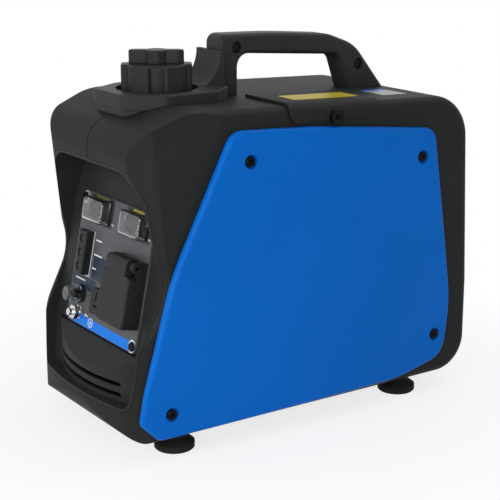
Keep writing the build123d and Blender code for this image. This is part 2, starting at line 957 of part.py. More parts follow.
def side_cover_screws():
    screws = []
    seat = side + cover_seat
    for along, height in cover_screw_places:
        screw = rod_x(cover_screw_head, (seat, seat + cover_screw_head_tall), front + along, height)
        screw = fillet(screw.edges().group_by(Axis.X)[-1], cover_screw_head_tall / 2)
        screw += rod_x(cover_screw_radius, (side - case_wall - case_boss_deep, seat), front + along, height)
        screws += [screw, other_side(screw)]
    return Compound(children=screws)


# Handle


def handle_place(along):
    return front + handle_set_back + along


def handle_form():
    """The whole handle: one bowed bar with a foot at each end and a finger gap."""
    foot = tail_height - case_edge_round
    middle = handle_long / 2
    outline = rounded_outline(
        [
            (handle_place(0), foot, 0),
            (handle_place(0), handle_top, handle_edge_round * 2),
            (handle_place(middle), handle_top - handle_bow / 4, far),
            (handle_place(handle_long), handle_top - handle_bow, handle_counterbore * 8),
            (handle_place(handle_knee), handle_tail_top, handle_counterbore * 8),
            (handle_place(handle_foot), foot, 0),
        ]
    )
    gap_front = handle_place(handle_leg)
    gap = rounded_outline(
        [
            (gap_front, foot - handle_edge_round, 0),
            (gap_front, finger_gap_front_top, finger_gap_round),
            (gap_front + finger_gap_long, finger_gap_rear_top, finger_gap_round),
            (gap_front + finger_gap_long + finger_gap_rear_slope, foot - handle_edge_round, 0),
        ]
    )
    half = handle_width / 2
    bar = plate_x(outline - gap, (-half, half))
    flat = bar.edges().filter_by(lambda edge: abs(abs(edge.center().X) - half) < fit_gap)
    rim = flat.filter_by(lambda edge: edge.center().Z > foot + fit_gap)
    bar = fillet(rim, handle_edge_round)
    return bar - case_form


handle = handle_form()


def handle_screw_spots():
    return [(handle_place(along), height) for along, height in (handle_screw_front, handle_screw_rear)]


def handle_half(hand):
    """One half of the handle: its screws enter from the right."""
    half = handle & block((0, far) if hand > 0 else (-far, 0), (-far, far), (0, far))
    outside = handle_width / 2
    for along, height in handle_screw_spots():
        half -= rod_x(handle_screw_radius + fit_gap, (handle_counterbore - outside, outside), along, height)
        half -= rod_x(handle_counterbore, (outside - handle_counterbore_deep, outside), along, height)
    return half


def handle_screws():
    screws = []
    seat = handle_width / 2 - handle_counterbore_deep
    for along, height in handle_screw_spots():
        screw = rod_x(handle_screw_head, (seat, seat + handle_screw_head_tall), along, height)
        screw += rod_x(handle_screw_radius, (-seat, seat), along, height)
        screws.append(screw)
    return Compound(children=screws)


# Filler deck, tank and cap


def deck_outline(inset):
    right = [
        (deck_nose_half, cap_y - deck_nose_ahead, case_edge_round),
        (deck_half, cap_y - deck_shoulder_ahead, 2 * case_edge_round),
        (deck_half, cap_y + deck_shoulder_behind, 2 * case_edge_round),
        (deck_tail_half, front + handle_set_back, 0),
    ]
    left = [(-across, along, corner) for across, along, corner in reversed(right)]
    return resized(rounded_outline(right + left), -inset)


def filler_deck():
    band_foot = deck_top - deck_band
    deck = plate_z(deck_outline(0), (band_foot, deck_top))
    deck = fillet(deck.edges().group_by(Axis.Z)[-1], deck_edge_round)
    deck += plate_z(deck_outline(deck_band_step), (brow_height - deck_band, band_foot))
    tail = front + handle_set_back
    ramp = make_face(
        [
            ThreePointArc(
                (tail - upstand_foot, deck_top),
                (tail - upstand_foot / 2, deck_top + (upstand_top - deck_top) / 3),
                (tail - upstand_head, upstand_top),
            ),
            Line((tail - upstand_head, upstand_top), (tail, upstand_top)),
            Line((tail, upstand_top), (tail, deck_top)),
            Line((tail, deck_top), (tail - upstand_foot, deck_top)),
        ]
    )
    deck += plate_x(ramp, (-upstand_half, upstand_half))
    deck -= case_form
    well_floor = deck_top - deck_well_deep
    deck -= rod_z(deck_well_radius, 0, cap_y, (well_floor, upstand_top))
    return deck - rod_z(neck_radius + deck_neck_room, 0, cap_y, (0, deck_top))


def fuel_tank():
    along = (front + tank_set_back, front + tank_set_back + tank_length)
    across = around(0, tank_width)
    tank = block(across, along, (tank_floor, tank_roof))
    tank = fillet(tank.edges(), tank_round)
    tank += rod_z(neck_radius, 0, cap_y, (tank_roof - tank_wall, neck_top))
    inner = block(
        (across[0] + tank_wall, across[1] - tank_wall),
        (along[0] + tank_wall, along[1] - tank_wall),
        (tank_floor + tank_wall, tank_roof - tank_wall),
    )
    tank -= fillet(inner.edges(), tank_round - tank_wall)
    tank -= rod_z(neck_radius - neck_wall, 0, cap_y, (tank_roof - 2 * tank_wall, neck_top))
    spigot_x, spigot_along = tank_spigot_at
    return tank + rod_z(tank_spigot_radius, spigot_x, front + spigot_along, (tank_floor - tank_spigot_long, tank_floor))


def fuel_cap_liner():
    foot = neck_top + liner_gap
    return rod_z(neck_radius, 0, cap_y, (foot, foot + liner_thick))


def fuel_cap():
    """A screw cap with broad lobes for the hand and a bore that goes over the neck."""
    plan = Circle(cap_radius)
    reach = cap_radius / 2
    lobe = RectangleRounded(reach, cap_lobe_width, cap_edge_round * 2)
    plan += [place * lobe for place in PolarLocations(cap_lobe_radius - reach / 2, cap_lobes)]
    cap = plate_z(plan, (cap_foot, cap_top))
    cap = fillet(cap.edges().group_by(Axis.Z)[-1], cap_edge_round)
    cap -= rod_z(cap_bore_radius, 0, 0, (cap_foot, cap_top - cap_roof))
    cap -= rod_z(vent_knob_pin + fit_gap, 0, 0, (cap_top - vent_knob_pin_deep - liner_gap, cap_top))
    return Pos(0, cap_y, 0) * cap


def fuel_cap_vent_knob():
    end = (vent_knob_length - vent_knob_waist) / 2
    plan = Circle(vent_knob_radius) + Rectangle(2 * end, vent_knob_waist)
    plan += [Pos(hand * end) * Circle(vent_knob_waist / 2) for hand in (-1, 1)]
    foot = cap_top + liner_gap
    knob = plate_z(plan, (foot, foot + vent_knob_tall))
    knob = fillet(knob.edges().group_by(Axis.Z)[-1], cap_edge_round)
    knob += rod_z(vent_knob_pin, 0, 0, (cap_top - vent_knob_pin_deep, foot))
    return Pos(0, cap_y, 0) * Rot(0, 0, vent_knob_turn) * knob


# Maintenance cover


def maintenance_cover():
    """A thin cover that follows the roof and turns down over the right shoulder."""
    start = front + hatch_front
    patch = Pos(start + hatch_length / 2, hatch_foot + hatch_length / 2)
    span = RectangleRounded(hatch_length, hatch_length, hatch_round)
    skin = case_body(hatch_gap + hatch_thick) - case_body(hatch_gap)
    cover = skin & plate_x(patch * span, (hatch_inner, far))
    notch = (side, far)
    along = front + hatch_screw_along
    cover -= rod_x(hatch_notch_radius, notch, along, hatch_screw_height)
    return cover - block(notch, around(along, 2 * hatch_notch_radius), (0, hatch_screw_height))


def maintenance_cover_screw():
    seat = side + hatch_thick + 2 * hatch_gap
    along = front + hatch_screw_along
    screw = rod_x(hatch_screw_head, (seat, seat + hatch_screw_head_tall), along, hatch_screw_height)
    screw += rod_x(hatch_collar_radius, (side, seat), along, hatch_screw_height)
    return screw + rod_x(cover_screw_radius, (side - hatch_screw_deep, side), along, hatch_screw_height)


# Feet


def rubber_feet():
    profile = make_face(
        Polyline(
            (0, 0),
            (foot_radius - foot_bevel, 0),
            (foot_radius, foot_bevel),
            (foot_radius, foot_pad),
            (foot_neck_radius, (foot_pad + case_underside) / 2),
            (foot_neck_radius, case_underside),
            (0, case_underside),
            close=True,
        )
    )
    foot = revolve(Plane.XZ * profile, Axis.Z)
    spots = [(hand * foot_across / 2, front + along) for hand in (-1, 1) for along in (foot_front, foot_rear)]
    return Compound(children=[Pos(*spot, 0) * foot for spot in spots])


# Engine, drawn about its crank axis: X from the crankcase flange, Z from the axis

shroud_long = stator_boss_long + stator_long + rotor_gap + rotor_end_wall + fan_disc_thick + fan_blade_long
shroud_face = -flange_thick - shroud_long - rotor_gap - shroud_wall
engine_x = recoil_cup_long + case_wall + recoil_gap - side - shroud_face
engine_y = front + crank_set_back
tail_pipe_x = engine_x + barrel_middle


def on_engine(solid):
    return Pos(engine_x, engine_y, crank_height) * solid


def bearing_spans():
    return (-flange_thick, bearing_width - flange_thick), (chamber_to + case_wall, chamber_to + bearing_width)


def crankcase():
    along = (-crankcase_front, crankcase_rear)
    case = block((0, crankcase_across), along, (crankcase_floor - crank_height, crankcase_roof - crank_height))
    case = fillet(case.edges(), crankcase_round)
    case += rod_x(flange_radius, (-flange_thick, 0), 0, 0)
    case += block((0, crankcase_round), along, around(0, 2 * crankcase_front - 3 * crankcase_round))
    case += rod_x(stator_boss_radius, (-flange_thick - stator_boss_long, 0), 0, 0)
    case -= rod_x(shaft_radius + rotor_gap, (-flange_thick - stator_boss_long, chamber_to + bearing_width), 0, 0)
    case -= rod_x(crank_chamber_radius, (chamber_from, chamber_to), 0, 0)
    for span in bearing_spans():
        case -= rod_x(bearing_radius, span, 0, 0)
    return on_engine(case)


def main_bearings():
    rings = []
    for span in bearing_spans():
        ring = rod_x(bearing_radius - fit_gap, span, 0, 0) - rod_x(shaft_radius + fit_gap, span, 0, 0)
        rings.append(on_engine(ring))
    return Compound(children=rings)


def crankshaft():
    tip = shroud_face + shroud_wall + fan_blade_long / 2
    web_left = chamber_from + rotor_gap
    web_right = chamber_to - rotor_gap - crank_web_thick
    shaft = rod_x(shaft_radius, (tip, web_left + crank_web_thick), 0, 0)
    shaft += rod_x(shaft_radius, (web_right, chamber_to + bearing_width - fit_gap), 0, 0)
    for start in (web_left, web_right):
        shaft += rod_x(crank_web_radius, (start, start + crank_web_thick), 0, 0)
    shaft += rod_x(crank_pin_radius, (web_left, web_right + crank_web_thick), 0, crank_throw)
    return on_engine(shaft)


def stator():
    start = -flange_thick - stator_boss_long
    span = (start - stator_long, start)
    core = rod_x(stator_yoke_radius, span, 0, 0)
    for step in range(stator_teeth):
        turn = Rot(360 * step / stator_teeth, 0, 0)
        stem = block(span, around(0, stator_tooth_width / 2), (0, stator_radius - stator_tooth_width / 4))
        shoe = block(span, around(0, stator_tooth_width), (stator_radius - stator_tooth_width / 2, stator_radius))
        core += turn * (stem + shoe)
    return on_engine(core - rod_x(stator_hole_radius, span, 0, 0))


def rotor_span():
    end = -flange_thick - stator_boss_long - stator_long - rotor_gap - rotor_end_wall
    return end, -flange_thick - rotor_gap


def rotor():
    end, mouth = rotor_span()
    cup = rod_x(rotor_radius, (end, mouth), 0, 0)
    cup -= rod_x(rotor_radius - rotor_rim, (end + rotor_end_wall, mouth), 0, 0)
    return on_engine(cup - rod_x(shaft_radius + fit_gap, (end, mouth), 0, 0))


def cooling_fan():
    back, _ = rotor_span()
    disc = (back - fan_disc_thick, back)
    fan = rod_x(rotor_radius, disc, 0, 0)
    for step in range(fan_blades):
        blade = block(
            (disc[0] - fan_blade_long, disc[1]),
            around(0, fan_blade_thick),
            (fan_blade_inner, rotor_radius),
        )
        fan += Rot(360 * step / fan_blades, 0, 0) * blade
    return on_engine(fan - rod_x(shaft_radius + fit_gap, disc, 0, 0))


def fan_shroud():
    inner = rotor_radius + shroud_gap
    span = (shroud_face, -flange_thick)
    shroud = rod_x(inner + shroud_wall, span, 0, 0)
    shroud -= rod_x(inner, (shroud_face + shroud_wall, -flange_thick), 0, 0)
    return on_engine(shroud - rod_x(shroud_hole_radius, span, 0, 0))


def recoil_housing():
    end = shroud_face - recoil_cup_long
    cup = rod_x(recoil_cup_radius, (end, shroud_face), 0, 0)
    cup -= rod_x(recoil_cup_radius - recoil_cup_wall, (end + recoil_cup_wall, shroud_face), 0, 0)
    post_end = end + recoil_cup_wall + 2 * reel_gap + reel_width
    return on_engine(cup + rod_x(reel_post_radius, (end, post_end), 0, 0))


def recoil_reel():
    start = shroud_face - recoil_cup_long + recoil_cup_wall + reel_gap
    span = (start, start + reel_width)
    reel = rod_x(reel_radius, span, 0, 0)
    groove = (start + reel_flange, start + reel_width - reel_flange)
    reel -= rod_x(reel_radius, groove, 0, 0) - rod_x(reel_groove_radius, groove, 0, 0)
    return on_engine(reel - rod_x(reel_post_radius + fit_gap, span, 0, 0))


def engine_mounts():
    mounts = []
    for across in (mount_inset, crankcase_across - mount_inset):
        for along in (mount_inset - crankcase_front, crankcase_rear - mount_inset):
            spot = (engine_x + across, engine_y + along)
            mounts.append(rod_z(mount_radius, *spot, (floor_inside, crankcase_floor)))
    return Compound(children=mounts)


def cylinder_barrel():
    roof, top = crankcase_roof - crank_height, head_floor - crank_height
    barrel = rod_z(barrel_radius, barrel_middle, 0, (roof, top))
    for step in range(fin_count):
        foot = top - (step + 1) * fin_pitch
        barrel += block(around(barrel_middle, fin_side), around(0, fin_side), (foot, foot + fin_thick))
    return on_engine(barrel)


def head_block():
    span = (head_floor - crank_height, head_roof - crank_height)
    return block(around(barrel_middle, head_size[0]), around(0, head_size[1]), span)


def cylinder_head():
    top = head_roof - crank_height
    head = fillet(head_block().edges().filter_by(Axis.Z), crankcase_round)
    return on_engine(head - rod_z(plug_radius + fit_gap, *plug_at, (head_floor - crank_height + fin_pitch, top)))


def valve_cover():
    across, along = rocker_cover_at
    cover = block(
        around(across, rocker_cover_size[0]),
        around(along, rocker_cover_size[1]),
        (head_roof - crank_height, rocker_cover_roof - crank_height),
    )
    return on_engine(fillet(cover.edges().group_by(Axis.Z)[-1], rocker_cover_round))


def spark_plug():
    seat, thread = head_roof - crank_height, head_floor - crank_height + fin_pitch
    plug = rod_z(plug_radius, *plug_at, (thread, plug_top - crank_height))
    hexed = Pos(*plug_at) * hexagon(plug_hex_across)
    return on_engine(plug + plate_z(hexed, (seat, seat + plug_hex_tall)))


def spark_plug_cap():
    foot = head_roof - crank_height + plug_hex_tall
    cap = rod_z(plug_cap_radius, *plug_at, (foot, foot + plug_cap_long))
    cap = fillet(cap.edges().group_by(Axis.Z)[-1], plug_cap_radius / 3)
    return on_engine(cap - rod_z(plug_radius + fit_gap, *plug_at, (foot, plug_top - crank_height)))


# Intake, exhaust and power module


def carburettor():
    port = port_height - crank_height
    mouth = -head_size[1] / 2
    wide, long, tall = carb_size
    neck = block(around(barrel_middle, tall), (mouth - insulator_long, mouth), around(port, tall - insulator_long))
    start = mouth - insulator_long
    body = block(around(barrel_middle, wide), (start - long, start), around(port, tall))
    body = fillet(body.edges().filter_by(Axis.Y), insulator_long / 2)
    bowl = (port - tall / 2 - carb_bowl_deep, port)
    body += rod_z(carb_bowl_radius, barrel_middle, start - long / 2, bowl)
    return on_engine(neck + body)


def carb_front():
    return engine_y - head_size[1] / 2 - insulator_long - carb_size[1]


def air_filter_housing():
    wide, long, tall = filter_size
    top = tank_floor - filter_top_gap
    middle = engine_x + barrel_middle
    span = (carb_front() - long, carb_front())
    box = block(around(middle, wide), span, (top - tall, top))
    box = fillet(box.edges(), filter_round)
    inner = block(
        around(middle, wide - 2 * filter_wall),
        (span[0] + filter_wall, span[1] - filter_wall),
        (top - tall + filter_wall, top - filter_wall),
    )
    return box - fillet(inner.edges(), filter_round - filter_wall)


def fuel_hose():
    spigot_x, spigot_along = tank_spigot_at
    along = front + spigot_along
    top = tank_floor - tank_spigot_long
    level = top - hose_bend - hose_radius
    inlet = engine_x + barrel_middle - carb_size[0] / 2
    path = FilletPolyline((spigot_x, along, top), (spigot_x, along, level), (inlet, along, level), radius=hose_bend)
    ring = Circle(hose_radius) - Circle(hose_bore)
    return sweep(Plane(origin=(spigot_x, along, top), z_dir=(0, 0, -1)) * ring, path=path)


def muffler():
    wide, long, tall = muffler_size
    middle = engine_x + barrel_middle
    port = engine_y + head_size[1] / 2
    span = (port + exhaust_long, port + exhaust_long + long)
    can = block(around(middle, wide), span, around(tail_pipe_height, tall))
    can = fillet(can.edges(), muffler_round)
    wall = 2 * muffler_wall
    hollow = block(around(middle, wide - wall), around(sum(span) / 2, long - wall), around(tail_pipe_height, tall - wall))
    can -= fillet(hollow.edges(), muffler_round - muffler_wall)
    can += rod_y(exhaust_radius, middle, (port, span[0] + case_wall), port_height)
    flange_wide, flange_thick_y, flange_tall = exhaust_flange
    can += block(around(middle, flange_wide), (port, port + flange_thick_y), around(port_height, flange_tall))
    pipe = (span[1] - case_wall, rear - tail_pipe_proud)
    can += rod_y(tail_pipe_radius, middle, pipe, tail_pipe_height)
    return can - rod_y(tail_pipe_radius - tail_pipe_wall, middle, pipe, tail_pipe_height)


def inverter_module():
    wide, long, tall = module_size
    along = (front + module_set_back, front + module_set_back + long)
    top = floor_inside + tall
    module = block(around(0, wide), along, (floor_inside, top))
    pitch = (wide - module_fin_thick) / (module_fins - 1)
    for step in range(module_fins):
        fin_x = (module_fin_thick - wide) / 2 + step * pitch
        module += block(around(fin_x, module_fin_thick), along, (top, top + module_fin_tall))
    return module


# Left side controls


def recoil_grip():
    along = front + grip_set_back
    outer = -side - grip_proud
    bar = block((outer, outer + grip_thick), around(along, grip_long), around(grip_height, grip_tall))
    bar = fillet(bar.edges(), grip_round)
    return bar + rod_x(grip_stem_radius, (outer + grip_thick - grip_round, dish_deep - side), along, grip_height)


def choke_knob():
    along = front + choke_set_back
    seat = -side - hatch_gap
    knob = rod_x(choke_radius, (seat - choke_skirt, seat), along, choke_height)
    bar = block((-side - choke_proud, seat), around(along, choke_bar[0]), around(choke_height, choke_bar[1]))
    knob += fillet(bar.edges().filter_by(Axis.X), choke_bar[1] / 3)
    return knob + rod_x(choke_stem_radius, (seat, seat + choke_stem_long), along, choke_height)


pieces = {
    "right_casing": right_casing(),
    "left_casing": left_casing(),
    "front_frame": front_frame(),
    "right_side_cover": right_cover,
    "left_side_cover": left_cover(),
    "side_cover_screws": side_cover_screws(),
    "right_handle_half": handle_half(1),
    "left_handle_half": handle_half(-1),
    "handle_screws": handle_screws(),
    "filler_deck": filler_deck(),
    "fuel_tank": fuel_tank(),
    "fuel_cap_liner": fuel_cap_liner(),
    "fuel_cap": fuel_cap(),
    "fuel_cap_vent_knob": fuel_cap_vent_knob(),
    "maintenance_cover": maintenance_cover(),
    "maintenance_cover_screw": maintenance_cover_screw(),
    "rubber_feet": rubber_feet(),
    "control_panel": control_panel(),
    "control_panel_screws": control_panel_screws(),
    "engine_switch_body": rocker_switch_body(engine_switch_at),
    "engine_switch_rocker": rocker(engine_switch_at),
    "engine_switch_boot": rocker_boot(engine_switch_at),
    "economy_switch_body": rocker_switch_body(economy_switch_at),
    "economy_switch_rocker": rocker(economy_switch_at),
    "economy_switch_boot": rocker_boot(economy_switch_at),
    "ac_outlet_base": ac_outlet_base(),
    "ac_receptacle": ac_receptacle(),
    "ac_outlet_lid": ac_outlet_lid(),
    "ac_lid_pin": ac_lid_pin(),
    "lamp_bar": lamp_bar(),
    "lamp_lenses": lamp_lenses(),
    "dc_socket": dc_socket(),
    "dc_breaker_body": dc_breaker_body(),
    "dc_breaker_button": dc_breaker_button(),
    "dc_breaker_boot": dc_breaker_boot(),
    "ground_terminal": ground_terminal(),
    "ground_nut": ground_nut(),
    "crankcase": crankcase(),
    "main_bearings": main_bearings(),
    "crankshaft": crankshaft(),
    "stator": stator(),
    "rotor": rotor(),
    "cooling_fan": cooling_fan(),
    "fan_shroud": fan_shroud(),
    "recoil_housing": recoil_housing(),
    "recoil_reel": recoil_reel(),
    "recoil_grip": recoil_grip(),
    "choke_knob": choke_knob(),
    "engine_mounts": engine_mounts(),
    "cylinder_barrel": cylinder_barrel(),
    "cylinder_head": cylinder_head(),
    "valve_cover": valve_cover(),
    "spark_plug": spark_plug(),
    "spark_plug_cap": spark_plug_cap(),
    "carburettor": carburettor(),
    "air_filter_housing": air_filter_housing(),
    "fuel_hose": fuel_hose(),
    "muffler": muffler(),
    "inverter_module": inverter_module(),
}

os.makedirs("parts", exist_ok=True)
for name, solid in pieces.items():
    export_step(solid, f"parts/{name}.step")
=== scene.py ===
import math

import bpy
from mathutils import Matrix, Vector
from mathutils.bvhtree import BVHTree


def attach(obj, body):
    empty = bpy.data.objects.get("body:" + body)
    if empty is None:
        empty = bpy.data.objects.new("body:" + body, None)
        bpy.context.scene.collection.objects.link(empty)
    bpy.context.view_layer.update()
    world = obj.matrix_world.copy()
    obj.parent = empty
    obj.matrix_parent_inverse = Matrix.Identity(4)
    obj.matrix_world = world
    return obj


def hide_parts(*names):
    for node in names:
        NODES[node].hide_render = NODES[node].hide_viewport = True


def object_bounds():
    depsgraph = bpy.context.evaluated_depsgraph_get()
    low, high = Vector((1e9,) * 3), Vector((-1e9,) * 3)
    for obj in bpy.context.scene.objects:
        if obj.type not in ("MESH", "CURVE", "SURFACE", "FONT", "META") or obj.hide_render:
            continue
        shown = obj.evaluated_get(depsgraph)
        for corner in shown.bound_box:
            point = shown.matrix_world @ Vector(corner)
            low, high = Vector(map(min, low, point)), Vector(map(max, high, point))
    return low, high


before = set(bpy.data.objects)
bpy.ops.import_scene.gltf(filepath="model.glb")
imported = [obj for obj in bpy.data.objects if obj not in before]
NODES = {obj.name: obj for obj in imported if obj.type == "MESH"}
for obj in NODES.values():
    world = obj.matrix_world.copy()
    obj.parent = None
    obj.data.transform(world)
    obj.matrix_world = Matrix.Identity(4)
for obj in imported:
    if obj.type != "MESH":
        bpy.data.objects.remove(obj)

CAD_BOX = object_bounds()
MM = 0.001


# Materials: pattern sizes in millimetres

# The range that a noise texture seldom leaves
NOISE_LOW, NOISE_HIGH = 0.25, 0.75
# Octaves of each noise, and strength of each bump
CLOUD_DETAIL, TARNISH_DETAIL, GRAIN_DETAIL, RIPPLE_DETAIL = 3.0, 4.0, 2.0, 2.0
GRAIN_STRENGTH, RIPPLE_STRENGTH, SHEET_STRENGTH = 0.6, 0.5, 0.5
EDGE_SAMPLES = 6


def linear(code):
    """An sRGB hex colour as linear red, green, blue and alpha."""
    parts = [int(code[i:i + 2], 16) / 255 for i in (0, 2, 4)]
    return [c / 12.92 if c <= 0.04045 else ((c + 0.055) / 1.055) ** 2.4 for c in parts] + [1.0]


def add(tree, kind, links=(), **settings):
    """Adds one node; settings are its inputs or properties, links are (input, other node, output)."""
    node = tree.nodes.new(kind)
    for name, value in settings.items():
        socket = node.inputs.get(name.replace("_", " "))
        if socket is not None:
            socket.default_value = value
        else:
            setattr(node, name, value)
    for name, other, output in links:
        tree.links.new(other.outputs[output], node.inputs[name])
    return node


def blank(name):
    """A new material, its node tree, its shader and object coordinates in metres."""
    material = bpy.data.materials.new(name)
    material.use_nodes = True
    tree = material.node_tree
    return material, tree, tree.nodes["Principled BSDF"], add(tree, "ShaderNodeTexCoord")


def tinted(tree, shader, field, output, dark, light, low=0.3, high=0.7):
    """Leads a pattern through two colours to the shader."""
    tint = add(tree, "ShaderNodeValToRGB", [("Fac", field, output)])
    tint.color_ramp.elements[0].position = low
    tint.color_ramp.elements[1].position = high
    tint.color_ramp.elements[0].color = linear(dark)
    tint.color_ramp.elements[1].color = linear(light)
    tree.links.new(tint.outputs["Color"], shader.inputs["Base Color"])


def surfaced(tree, shader, place, rough, spread, grain_mm, depth_mm, edge_mm):
    """A grain in bump, with gloss that varies with it, and softened edges where the tool had a radius."""
    grain = add(
        tree, "ShaderNodeTexNoise", [("Vector", place, "Object")],
        Scale=1 / (grain_mm * MM), Detail=GRAIN_DETAIL,
    )
    gloss = add(
        tree, "ShaderNodeMapRange", [("Value", grain, "Fac")],
        From_Min=NOISE_LOW, From_Max=NOISE_HIGH, To_Min=rough - spread, To_Max=rough + spread,
    )
    tree.links.new(gloss.outputs["Result"], shader.inputs["Roughness"])
    bump = add(
        tree, "ShaderNodeBump", [("Height", grain, "Fac")],
        Strength=GRAIN_STRENGTH, Distance=depth_mm * MM,
    )
    if edge_mm:
        edge = add(tree, "ShaderNodeBevel", Radius=edge_mm * MM, samples=EDGE_SAMPLES)
        tree.links.new(edge.outputs["Normal"], bump.inputs["Normal"])
    tree.links.new(bump.outputs["Normal"], shader.inputs["Normal"])


def moulded(
    name, dark, light, rough, grain_mm, depth_mm, cloud_mm=60.0, spread=0.05, edge_mm=0.0, specular=0.5,
):
    """A moulded polymer: slow colour drift, a moulded grain, and gloss that follows it."""
    material, tree, shader, place = blank(name)
    cloud = add(
        tree, "ShaderNodeTexNoise", [("Vector", place, "Object")],
        Scale=1 / (cloud_mm * MM), Detail=CLOUD_DETAIL,
    )
    tinted(tree, shader, cloud, "Fac", dark, light)
    surfaced(tree, shader, place, rough, spread, grain_mm, depth_mm, edge_mm)
    shader.inputs["Specular IOR Level"].default_value = specular
    return material


def metal(name, dark, light, rough, grain_mm, depth_mm, cloud_mm=15.0, spread=0.06, edge_mm=0.0):
    """A bare or plated metal: slight tarnish in slow patches over a fine surface."""
    material, tree, shader, place = blank(name)
    tarnish = add(
        tree, "ShaderNodeTexNoise", [("Vector", place, "Object")],
        Scale=1 / (cloud_mm * MM), Detail=TARNISH_DETAIL,
    )
    tinted(tree, shader, tarnish, "Fac", dark, light)
    surfaced(tree, shader, place, rough, spread, grain_mm, depth_mm, edge_mm)
    shader.inputs["Metallic"].default_value = 1.0
    return material


# ABS moulded against a spark-eroded tool: charcoal, matt, a fine pebble that breaks up highlights
casing_abs = moulded(
    "abs_charcoal_spark_eroded", "1b1c1c", "202121",
    rough=0.55, grain_mm=1.2, depth_mm=0.05, edge_mm=2.0, specular=0.1,
)
# The same plastic from a finer tool: a shade lighter and a little smoother than the casing
frame_abs = moulded(
    "abs_charcoal_fine", "212222", "262727",
    rough=0.5, grain_mm=0.9, depth_mm=0.03, edge_mm=0.8, specular=0.1,
)
# ABS coloured through, from a lightly polished tool: even deep blue with a soft sheen
cover_abs = moulded(
    "abs_blue_moulded", "005cb4", "0060ba",
    rough=0.38, grain_mm=2.2, depth_mm=0.03, cloud_mm=120.0, spread=0.04, edge_mm=0.5, specular=0.07,
)
# Glass-filled polyamide, moulded: black, satin, slightly smoother than the casing
handle_pa = moulded(
    "polyamide_black_satin", "242525", "292a2a",
    rough=0.45, grain_mm=0.9, depth_mm=0.03, edge_mm=0.7, specular=0.13,
)
# Polypropylene, moulded: black with a soft waxy sheen
black_pp = moulded(
    "polypropylene_black", "1f2020", "242525",
    rough=0.42, grain_mm=1.4, depth_mm=0.03, edge_mm=0.5, specular=0.12,
)
# Nylon, moulded in a polished tool: near black, even, with small soft highlights
outlet_nylon = moulded(
    "nylon_black_moulded", "1c1d1e", "212223",
    rough=0.4, grain_mm=1.0, depth_mm=0.02, cloud_mm=25.0, edge_mm=0.5, specular=0.14,
)
# Polycarbonate film with a velvet grain, printed grey on the back: even mid grey, no mirror
panel_film = moulded(
    "polycarbonate_velvet_printed_grey", "4c4d50", "545558",
    rough=0.42, grain_mm=0.5, depth_mm=0.012, cloud_mm=40.0, specular=0.15,
)
# Screen inks on the same film: thin, even, with a slight pinhole mottle
INKS = {
    "dark": ("2a2b2d", "2e2f31"),
    "navy": ("222c3e", "273245"),
    "blue": ("0a6cd0", "1073d8"),
    "white": ("cfd1d3", "dadcdd"),
    "yellow": ("d2bf2a", "dcc934"),
    "pale": ("9b9ea0", "a8abad"),
}
ink = {
    shade: moulded(
        "screen_ink_" + shade, dark, light,
        rough=0.42, grain_mm=0.5, depth_mm=0.008, cloud_mm=3.0, specular=0.15,
    )
    for shade, (dark, light) in INKS.items()
}
# Vinyl label stock, bare: yellow, soft gloss
label_yellow = moulded(
    "vinyl_label_yellow", "b5a219", "c2af24",
    rough=0.38, grain_mm=0.8, depth_mm=0.01, cloud_mm=18.0, specular=0.15,
)
# Metallised polyester label stock, bare: silver grey, brushed too finely to show lines
label_silver = moulded(
    "polyester_label_silver", "8a8d90", "979a9d",
    rough=0.34, grain_mm=0.6, depth_mm=0.01, cloud_mm=14.0, specular=0.2,
)
# Natural rubber, moulded: black, dull, a little dusty
foot_rubber = moulded(
    "rubber_black_moulded", "141414", "1b1b1b",
    rough=0.8, grain_mm=1.6, depth_mm=0.06, cloud_mm=12.0, specular=0.15,
)
# Nitrile hose, extruded: black, dull
hose_nitrile = moulded(
    "nitrile_black_extruded", "121212", "181818",
    rough=0.6, grain_mm=0.8, depth_mm=0.03, cloud_mm=10.0,
)
# Polyethylene, blow moulded: black, waxy, slow waviness
tank_pe = moulded(
    "polyethylene_black_blown", "1a1a1b", "202021",
    rough=0.38, grain_mm=6.0, depth_mm=0.12, cloud_mm=40.0,
)
# Heat-resistant paint on sheet steel: dull warm grey, fine spray grit
muffler_paint = moulded(
    "heat_paint_sprayed_steel", "34312e", "3e3a36",
    rough=0.7, grain_mm=0.9, depth_mm=0.05, cloud_mm=20.0,
)
# Smoked acrylic lamp lens: near black when unlit, glossy
lens_acrylic = moulded(
    "acrylic_smoked_lens", "050506", "080807",
    rough=0.2, grain_mm=1.5, depth_mm=0.004, cloud_mm=6.0, specular=0.2,
)
# The shadow in a mould's parting line: near black, with no highlight
seam_shadow = moulded(
    "parting_line_shadow", "050505", "070707",
    rough=0.9, grain_mm=1.0, depth_mm=0.02, specular=0.05,
)
# Steel screws, black oxide: dark, slightly oily sheen
screw_oxide = metal(
    "steel_black_oxide", "161617", "1e1e20",
    rough=0.38, grain_mm=0.6, depth_mm=0.01, cloud_mm=4.0, edge_mm=0.25,
)
# The driver's cross in a screw: painted shade of the recess in the same oxide, near black
painted_recess_shade = metal(
    "steel_oxide_painted_recess_shade", "050505", "080808",
    rough=0.6, grain_mm=0.6, depth_mm=0.01, cloud_mm=4.0,
)
# Bright chromium plate on brass: mirror with faint haze
chrome_plate = metal(
    "chromium_plate_bright", "c9cacc", "d6d7d9",
    rough=0.12, grain_mm=0.8, depth_mm=0.004, spread=0.05, edge_mm=0.3,
)
# Zinc plate on pressed steel: pale, dull enough to look bright from any side
zinc_plate = metal(
    "zinc_plate_dull", "c9cccf", "d6d9dc",
    rough=0.45, grain_mm=0.8, depth_mm=0.006, cloud_mm=4.0,
)
# Aluminium, die cast: pale grey, granular, dull
cast_aluminium = metal(
    "aluminium_die_cast", "8b8d8f", "9c9ea0",
    rough=0.48, grain_mm=0.9, depth_mm=0.04, edge_mm=0.4,
)
